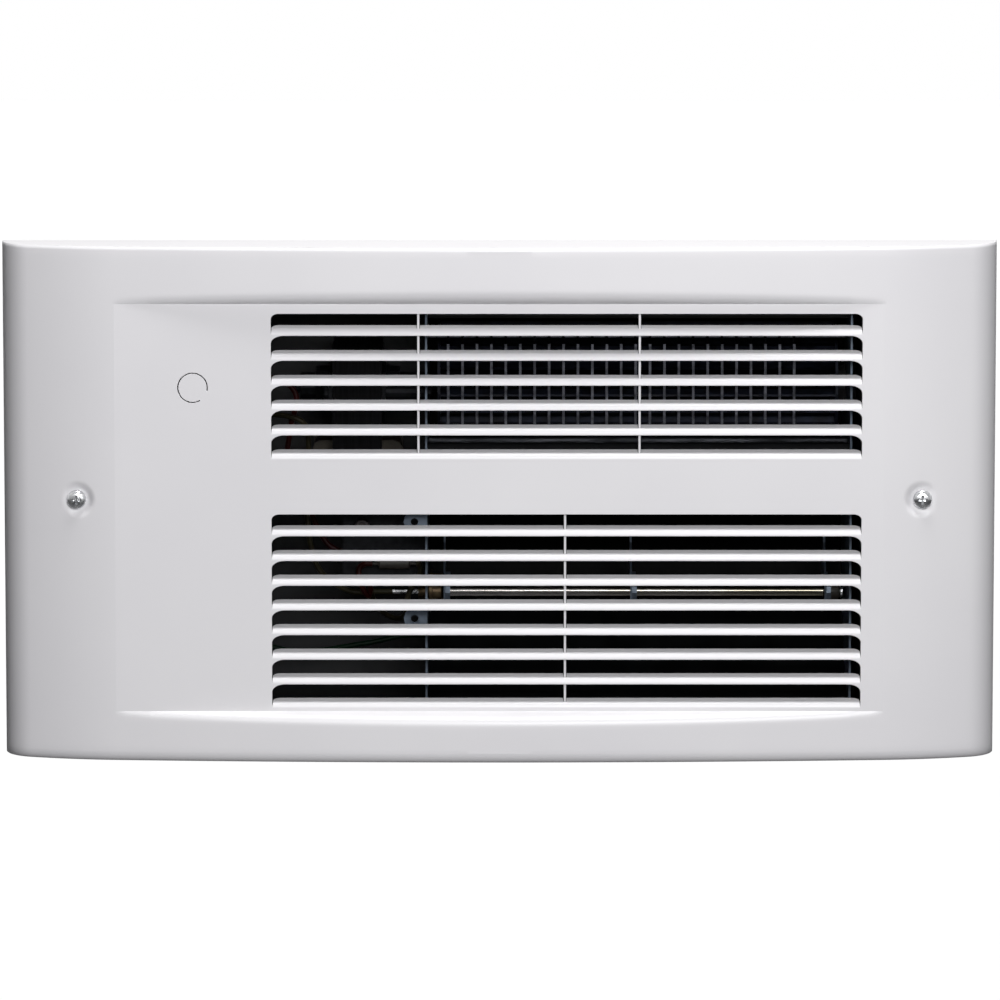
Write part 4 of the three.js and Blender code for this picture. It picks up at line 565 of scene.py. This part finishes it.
def bushing(y):
    seat, end = LEFT_PLATE + 0.3, SHEATH[0] - 0.3
    profile = [(1.6, PLATE_OUTSIDE - 4), (3.5, PLATE_OUTSIDE - 4), (3.5, seat), (6.2, seat)]
    profile += [(6.5, seat + 0.3), (6.5, seat + 1.7), (6.2, seat + 2), (4.8, seat + 2)]
    profile += [(4.8, end - 0.5), (4.3, end), (1.6, end)]
    return turned("end_bushing", "x", (y, ELEMENT_Z), profile, 48)


def fuse():
    left, right = FUSE_X
    profile = [(0, left - 3), (0.7, left - 3), (0.7, left - 0.4), (2.2, left - 0.2)]
    profile += [(2.8, left + 0.5), (2.8, right - 0.5)]
    profile += [(2.2, right + 0.2), (0.7, right + 0.4), (0.7, right + 3), (0, right + 3)]
    return turned("fuse_body", "x", (FUSE_Y, FUSE_Z), profile, 48)


def button():
    seat, tip = 9.6, 3.6
    profile = [(0, tip + 1), (2.1, tip + 1), (2.4, tip + 0.7), (2.6, tip), (3.2, tip)]
    profile += [(3.6, tip + 0.2), (3.7, tip + 0.5), (3.7, seat), (4.7, seat), (4.7, seat + 1)]
    profile += [(0, seat + 1)]
    return turned("button_cap", "y", (LIMIT_X, LIMIT_Z), profile, 48)


def before_drop(share):
    """A place between the terminal block and the bend down of the supply leads."""
    return BLOCK_RIGHT + 8 + share * (DROP_X - BLOCK_RIGHT - 8)


WIRES = {
    "supply_lead_red": [
        (BLOCK_RIGHT - 5, 30, 53.5), (BLOCK_RIGHT + 8, 30, 53.5), (before_drop(0.53), 16, 60),
        (DROP_X - 4, 4, 56), (DROP_X, 2.5, AXIS_Z), (DROP_X - 3, 6, AXIS_Z - 16),
        (DROP_X - 5, 14, AXIS_Z - 40), (DROP_X + 5, TAB_Y, LIMIT_Z + 8),
        (LIMIT_X - 17, TAB_Y, TAB_FOOT - 9), (LIMIT_X - 7, TAB_Y, TAB_FOOT - 12),
        (LIMIT_X - 5, TAB_Y, TAB_FOOT - 6), (LIMIT_X - 5, TAB_Y, TAB_FOOT),
    ],
    "supply_lead_white": [
        (BLOCK_RIGHT - 5, 30, 36.5), (BLOCK_RIGHT + 8, 30, 36.5), (before_drop(0.5), 12, 40),
        (DROP_X - 1, -2, 40), (DROP_X + 4.5, -1, 36), (DROP_X + 6, 6, AXIS_Z - 36),
        (DROP_X + 5, 8, LIMIT_Z + 6.8), (DROP_X + 11, 14, ELEMENT_Z + 12.4),
        (TERMINAL_END - 21, 20, ELEMENT_Z), (TERMINAL_END - 11, 20, ELEMENT_Z),
        (TERMINAL_END, 20, ELEMENT_Z),
    ],
    "limit_lead": [
        (LIMIT_X + 5, TAB_Y, TAB_FOOT), (LIMIT_X + 5, TAB_Y, TAB_FOOT - 6),
        (LIMIT_X + 4, 20, ELEMENT_Z + 10), (LIMIT_X + 4, 15, ELEMENT_Z + 2.4),
        (LIMIT_X + 3, 6, ELEMENT_Z), (LIMIT_X, 1, FUSE_Z - 11.2),
        (FUSE_X[0] - 10, 2.5, FUSE_Z - 2.2), (FUSE_X[0] - 7, FUSE_Y, FUSE_Z),
        (FUSE_X[0] - 3.3, FUSE_Y, FUSE_Z),
    ],
    "fuse_lead": [
        (FUSE_X[1] + 3.3, FUSE_Y, FUSE_Z), (FUSE_X[1] + 5, FUSE_Y, FUSE_Z),
        (PLATE_OUTSIDE - 3, 0, FUSE_Z - 5.2), (PLATE_OUTSIDE - 8.5, -1, ELEMENT_Z + 2.4),
        (PLATE_OUTSIDE - 10.5, 6, ELEMENT_Z - 9.6), (PLATE_OUTSIDE - 16.5, 20, ELEMENT_Z - 13.6),
        (TERMINAL_END - 9, 42, ELEMENT_Z - 9.6), (TERMINAL_END - 11, 52, ELEMENT_Z),
        (TERMINAL_END, 52, ELEMENT_Z),
    ],
    "ground_wire": [
        (-160, 92.4, -64), (-160, 84.7, -64), (-148, 78, -76), (-109.75, 76, -92),
        (-69.5, 74, -88), (PLATE_OUTSIDE - 12, 74, -84), (PLATE_OUTSIDE - 0.3, 74, -84),
    ],
}
LEAD_COLOURS = {
    "supply_lead_red": "red", "supply_lead_white": "white", "limit_lead": "red",
    "fuse_lead": "white", "ground_wire": "green",
}


# ------------------------------------------------------------------ materials
def material(name):
    made = bpy.data.materials.new(name)
    made.use_nodes = True
    tree = made.node_tree
    return made, tree.nodes, tree.links, tree.nodes["Principled BSDF"]


def noise(nodes, links, scale, detail=3.0, stretch=(1, 1, 1)):
    place = nodes.new("ShaderNodeTexCoord")
    mapping = nodes.new("ShaderNodeMapping")
    mapping.inputs["Scale"].default_value = stretch
    texture = nodes.new("ShaderNodeTexNoise")
    texture.inputs["Scale"].default_value = scale
    texture.inputs["Detail"].default_value = detail
    links.new(place.outputs["Object"], mapping.inputs["Vector"])
    links.new(mapping.outputs["Vector"], texture.inputs["Vector"])
    return texture


def tinted(nodes, links, shader, texture, low, high):
    """Colour between two tints, by a texture."""
    ramp = nodes.new("ShaderNodeValToRGB")
    dark, pale = ramp.color_ramp.elements
    dark.color, pale.color = (*low, 1), (*high, 1)
    dark.position, pale.position = 0.35, 0.65
    links.new(texture.outputs["Fac"], ramp.inputs["Fac"])
    links.new(ramp.outputs["Color"], shader.inputs["Base Color"])


def ranged(nodes, links, source, taken, given, target):
    """Sends one value on to a socket, from the range it is taken in to the range given."""
    spread = nodes.new("ShaderNodeMapRange")
    spread.inputs["From Min"].default_value, spread.inputs["From Max"].default_value = taken
    spread.inputs["To Min"].default_value, spread.inputs["To Max"].default_value = given
    links.new(source, spread.inputs["Value"])
    links.new(spread.outputs["Result"], target)


def bumped(nodes, links, shader, texture, strength, distance):
    bump = nodes.new("ShaderNodeBump")
    bump.inputs["Strength"].default_value = strength
    bump.inputs["Distance"].default_value = distance * MM
    links.new(texture.outputs["Fac"], bump.inputs["Height"])
    links.new(bump.outputs["Normal"], shader.inputs["Normal"])


def finish(name, low, high, rough, metallic=0.0, scale=120, bump=(0.1, 0.05), bump_scale=900,
           stretch=(1, 1, 1), coat=0.0, specular=0.5):
    """A surface that varies between two tints and two roughnesses, with a fine grain."""
    made, nodes, links, shader = material(name)
    shader.inputs["Metallic"].default_value = metallic
    shader.inputs["Specular IOR Level"].default_value = specular
    shader.inputs["Coat Weight"].default_value = coat
    broad = noise(nodes, links, scale, 4.0, stretch)
    fine = noise(nodes, links, bump_scale, 2.0, stretch)
    tinted(nodes, links, shader, broad, low, high)
    ranged(nodes, links, broad.outputs["Fac"], (0.3, 0.7), rough, shader.inputs["Roughness"])
    bumped(nodes, links, shader, fine, *bump)
    return made


LAYERED = {"scale": 900, "bump": (0.5, 0.08), "bump_scale": 1600, "stretch": (1, 0.02, 0.02)}
WOUND = {"scale": 300, "bump": (0.7, 0.25), "bump_scale": 420, "stretch": (0.2, 6, 0.2)}
INSULATION = {"scale": 200, "specular": 0.15}
COATED = {"scale": 60, "bump": (0.2, 0.05), "bump_scale": 700}
ZINC = {"scale": 130, "bump": (0.12, 0.03), "bump_scale": 500}
BRUSHED = {"scale": 300, "bump": (0.1, 0.03), "bump_scale": 1200}

LOOKS = {
    "casing": finish(
        "satin_powder_coat", (0.735, 0.725, 0.745), (0.765, 0.755, 0.77), (0.36, 0.44),
        scale=6, bump=(0.10, 0.03), bump_scale=1100),
    "galvanised": finish(
        "galvanised_sheet", (0.36, 0.41, 0.47), (0.62, 0.67, 0.72), (0.28, 0.5),
        metallic=0.9, **ZINC),
    # The dark sheet's tints are near black as painted shade for the unlit inside of the heater.
    "dark_sheet": finish(
        "shade_black_sheet_coat", (0.0015, 0.0017, 0.002), (0.004, 0.0044, 0.005), (0.5, 0.7),
        specular=0.08, **COATED),
    "bright_steel": finish(
        "zinc_plated_steel", (0.55, 0.56, 0.58), (0.78, 0.79, 0.80), (0.18, 0.34),
        metallic=1.0, scale=400, bump=(0.08, 0.02), bump_scale=1500),
    # The sheath's tints are dark partly as heat tint and partly as painted shade, which dims the
    # tube behind the grille.
    "sheath": finish(
        "heat_tint_and_shade_sheath", (0.12, 0.11, 0.08), (0.25, 0.24, 0.23), (0.12, 0.22),
        metallic=1.0, scale=40, bump=(0.08, 0.02), stretch=(0.3, 1, 1)),
    # Near-black laminations: painted shade for the motor inside the dark can.
    "lamination": finish(
        "stacked_laminations", (0.002, 0.002, 0.0024), (0.006, 0.006, 0.007), (0.5, 0.7),
        specular=0.05, **LAYERED),
    "rubber": finish("matt_rubber", (0.012, 0.012, 0.013), (0.022, 0.022, 0.024), (0.7, 0.85)),
    # Bronze far darker than the bare metal: painted shade.
    "bronze": finish(
        "sintered_bronze", (0.06, 0.04, 0.024), (0.11, 0.08, 0.045), (0.35, 0.55),
        metallic=0.9, scale=500, bump=(0.2, 0.03), bump_scale=2200),
    # Winding near black instead of copper coloured: painted shade.
    "winding": finish(
        "varnished_shade_dark_winding", (0.006, 0.0022, 0.001), (0.014, 0.006, 0.002), (0.35, 0.5),
        coat=0.05, **WOUND),
    # Nylon far darker than its pale natural colour: painted shade.
    "nylon": finish(
        "moulded_nylon", (0.03, 0.027, 0.02), (0.05, 0.045, 0.034), (0.45, 0.6),
        scale=80, specular=0.2),
    "bakelite": finish(
        "moulded_bakelite", (0.018, 0.014, 0.012), (0.035, 0.028, 0.025), (0.3, 0.42)),
    # Red dulled nearly to black: painted shade.
    "button_red": finish(
        "red_moulding", (0.020, 0.014, 0.014), (0.034, 0.026, 0.026), (0.4, 0.55), scale=200),
    # Ceramic darkened to near black: painted shade.
    "ceramic": finish(
        "fired_ceramic", (0.022, 0.018, 0.014), (0.038, 0.032, 0.026), (0.45, 0.6),
        scale=300, bump=(0.2, 0.05), bump_scale=1300),
    # The insulation colours, the white one too, are darkened near black: painted shade for the
    # leads inside the can.
    "wire_red": finish(
        "red_insulation", (0.016, 0.0012, 0.001), (0.028, 0.002, 0.0018), (0.4, 0.55),
        **INSULATION),
    "wire_white": finish(
        "white_insulation", (0.016, 0.014, 0.007), (0.026, 0.023, 0.012), (0.4, 0.55),
        **INSULATION),
    "wire_green": finish(
        "green_insulation", (0.001, 0.009, 0.0035), (0.002, 0.015, 0.006), (0.4, 0.55),
        **INSULATION),
}

# Pieces behind the grilles, and the can round them, take near-black or dimmed copies of their
# slots' finishes instead: painted shade for the unlit inside of the heater.
# Steel near black: painted shade.
SHADE_DARK_STEEL = finish(
    "shade_dark_steel", (0.006, 0.0065, 0.008), (0.013, 0.014, 0.016), (0.45, 0.6),
    metallic=0.6, specular=0.2, **BRUSHED)
# Guard wire dimmer than the slot's steel: painted shade.
SHADE_DIM_WIRE = finish(
    "shade_dimmed_wire", (0.22, 0.23, 0.26), (0.34, 0.35, 0.40), (0.14, 0.22), metallic=1.0, **BRUSHED)
# Blades near black with a slight blue tint: the darkness is painted shade and the blue a painted
# bluish reflection.
SHADE_DARK_BLADE = finish(
    "shade_dark_blue_blade", (0.004, 0.0045, 0.007), (0.014, 0.017, 0.028), (0.45, 0.6),
    metallic=0.5, bump=(0.1, 0.03), bump_scale=700, specular=0.2)
# Sheet far dimmer than the galvanised finish: painted shade.
SHADE_DIM_SHEET = finish(
    "shade_dimmed_sheet", (0.06, 0.075, 0.095), (0.11, 0.135, 0.17), (0.35, 0.55),
    metallic=0.7, **ZINC)
# Can near black: painted shade for its unlit inside.
SHADE_DARK_CAN = finish(
    "shade_black_can_coat", (0.009, 0.0095, 0.011), (0.018, 0.019, 0.021), (0.45, 0.6),
    specular=0.3, **COATED)
INNER = {
    "wall_can": SHADE_DARK_CAN, "intake_guard": SHADE_DIM_WIRE, "blower_wheel": SHADE_DARK_BLADE,
    **dict.fromkeys((
        "motor_shaft", "motor_bridge_drive", "motor_bridge_rear", "motor_screw_front",
        "motor_screw_back", "motor_spacer_front", "motor_spacer_back", "limit_bracket",
    ), SHADE_DARK_STEEL),
    **dict.fromkeys((
        "left_side_plate", "right_side_plate", "element_support_left",
        "element_support_middle", "element_support_right", "element_rail",
    ), SHADE_DIM_SHEET),
}


# ------------------------------------------------------------------ every piece gets its look
def dress(piece, slot_name, body="heater"):
    piece.data.materials.clear()
    piece.data.materials.append(LOOKS[slot_name])
    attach(piece, body)


for part in frame["record"]["subparts"]:
    solid = NODES[part["node"]]
    solid.data.materials.clear()
    solid.data.materials.append(INNER.get(part["node"]) or LOOKS[part["material_slot"]])
    smooth(solid, 38)

bowed = cover()
dress(bowed, "casing")
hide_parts("front_cover")
for side, suffix in ((-1, "left"), (1, "right")):
    screw = cover_screw(side)
    screw.name = "pan_screw_" + suffix
    dress(screw, "bright_steel")
    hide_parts("cover_screw_" + suffix)
for suffix, y in ELEMENT_Y.items():
    for make, slot_name, node in (
        (sheath_rod, "sheath", "heating_element_"),
        (insulator, "ceramic", "element_insulator_"),
        (bushing, "bronze", "element_bushing_"),
    ):
        piece = make(y)
        piece.name = piece.name + "_" + suffix
        dress(piece, slot_name)
        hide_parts(node + suffix)
fuse_piece = fuse()
dress(fuse_piece, "ceramic")
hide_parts("thermal_fuse")
cap = button()
dress(cap, "button_red", "reset")
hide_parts("reset_button")
for node, points in WIRES.items():
    lead = tube("round_" + node, centripetal(points, 10), LEAD)
    dress(lead, "wire_" + LEAD_COLOURS[node])
    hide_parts(node)


# ------------------------------------------------------------------ floor, light and camera
FLOOR_HALF, FLOOR_Z = 14.0, -1.1  # metres, like all that follows
CAMERA_DISTANCE, CAMERA_ELEVATION = 4.0, math.radians(8.2)
CAMERA_AIM = Vector((0.00025, 0, -0.0024))
SENSOR_WIDTH, FOCAL_LENGTH = 36.0, 283.97  # mm


def floor():
    """A pale floor that takes the shadow, and is near white to the camera."""
    signs = ((-1, -1), (1, -1), (1, 1), (-1, 1))
    corners = [(u * FLOOR_HALF, v * FLOOR_HALF, FLOOR_Z) for u, v in signs]
    mesh = bpy.data.meshes.new("floor")
    mesh.from_pydata(corners, [], [(0, 1, 2, 3)])
    piece = linked("floor", mesh)
    made, nodes, links, shader = material("pale_floor")
    shader.inputs["Roughness"].default_value = 0.8
    texture = noise(nodes, links, 3, 3.0)
    tinted(nodes, links, shader, texture, (0.32, 0.32, 0.325), (0.36, 0.36, 0.36))
    light = nodes.new("ShaderNodeEmission")
    light.inputs["Strength"].default_value = 0.93
    add = nodes.new("ShaderNodeAddShader")
    mix = nodes.new("ShaderNodeMixShader")
    path = nodes.new("ShaderNodeLightPath")
    output = nodes["Material Output"]
    links.new(shader.outputs["BSDF"], add.inputs[0])
    links.new(light.outputs["Emission"], add.inputs[1])
    links.new(path.outputs["Is Camera Ray"], mix.inputs["Fac"])
    links.new(shader.outputs["BSDF"], mix.inputs[1])
    links.new(add.outputs["Shader"], mix.inputs[2])
    links.new(mix.outputs["Shader"], output.inputs["Surface"])
    piece.data.materials.append(made)


def joined(nodes, links, operation, first, second):
    """The result of one sum on two sockets."""
    both = nodes.new("ShaderNodeMath")
    both.operation = operation
    links.new(first, both.inputs[0])
    links.new(second, both.inputs[1])
    return both


def world_light(left, right):
    """Soft light that grows from left to right. Cameras and glass see plain white, and shiny
    surfaces see white that is dimmer in front."""
    world = bpy.data.worlds.new("studio")
    bpy.context.scene.world = world
    world.use_nodes = True
    nodes, links = world.node_tree.nodes, world.node_tree.links
    nodes.clear()
    place = nodes.new("ShaderNodeTexCoord")
    split = nodes.new("ShaderNodeSeparateXYZ")
    links.new(place.outputs["Generated"], split.inputs["Vector"])
    soft = nodes.new("ShaderNodeBackground")
    soft.inputs["Color"].default_value = (0.95, 0.97, 1.0, 1)
    ranged(nodes, links, split.outputs["X"], (-1.0, 1.0), (left, right), soft.inputs["Strength"])
    white = nodes.new("ShaderNodeBackground")
    white.inputs["Color"].default_value = (1, 1, 1, 1)
    white.inputs["Strength"].default_value = 1.0
    ray = nodes.new("ShaderNodeLightPath").outputs
    seen = joined(nodes, links, "MAXIMUM", ray["Is Camera Ray"], ray["Is Transmission Ray"])
    shine = nodes.new("ShaderNodeMath")
    shine.operation = "MULTIPLY"
    links.new(ray["Is Glossy Ray"], shine.inputs[0])
    ranged(nodes, links, split.outputs["Y"], (-1.0, 0.2), (0.4, 1.0), shine.inputs[1])
    white_share = joined(nodes, links, "MAXIMUM", seen.outputs["Value"], shine.outputs["Value"])
    mix = nodes.new("ShaderNodeMixShader")
    links.new(white_share.outputs["Value"], mix.inputs["Fac"])
    links.new(soft.outputs["Background"], mix.inputs[1])
    links.new(white.outputs["Background"], mix.inputs[2])
    output = nodes.new("ShaderNodeOutputWorld")
    links.new(mix.outputs["Shader"], output.inputs["Surface"])


def aimed(name, data, place, direction):
    holder = linked(name, data)
    holder.location = place
    holder.rotation_mode = "QUATERNION"
    holder.rotation_quaternion = direction.to_track_quat("-Z", "Y")
    return holder


def lamp(name, place, aim, size, energy, colour):
    data = bpy.data.lights.new(name, "AREA")
    data.shape = "RECTANGLE"
    data.size, data.size_y = size
    data.energy = energy
    data.color = colour
    aimed(name, data, place, Vector(aim) - Vector(place))


def camera():
    """The photograph's viewpoint: straight ahead and a little above."""
    data = bpy.data.cameras.new("camera")
    data.sensor_width = SENSOR_WIDTH
    data.lens = FOCAL_LENGTH
    back = Vector((0, -math.cos(CAMERA_ELEVATION), math.sin(CAMERA_ELEVATION)))
    place = CAMERA_AIM + back * CAMERA_DISTANCE
    bpy.context.scene.camera = aimed("camera", data, place, -back)


floor()
world_light(0.0, 0.13)
lamp("key", (0.08, -0.22, 1.40), (0.03, 0, 0.03), (0.5, 0.26), 15, (1.0, 0.995, 0.99))
lamp("rim", (0.08, 0.50, 0.70), (0.05, 0, 0.13), (0.4, 0.2), 0.3, (1.0, 0.995, 0.99))
lamp("fill", (0.22, -1.69, 0.60), (0.02, 0, 0.02), (0.8, 0.5), 25.5, (0.99, 0.99, 1.0))
camera()
bpy.context.scene.view_settings.view_transform = "Standard"
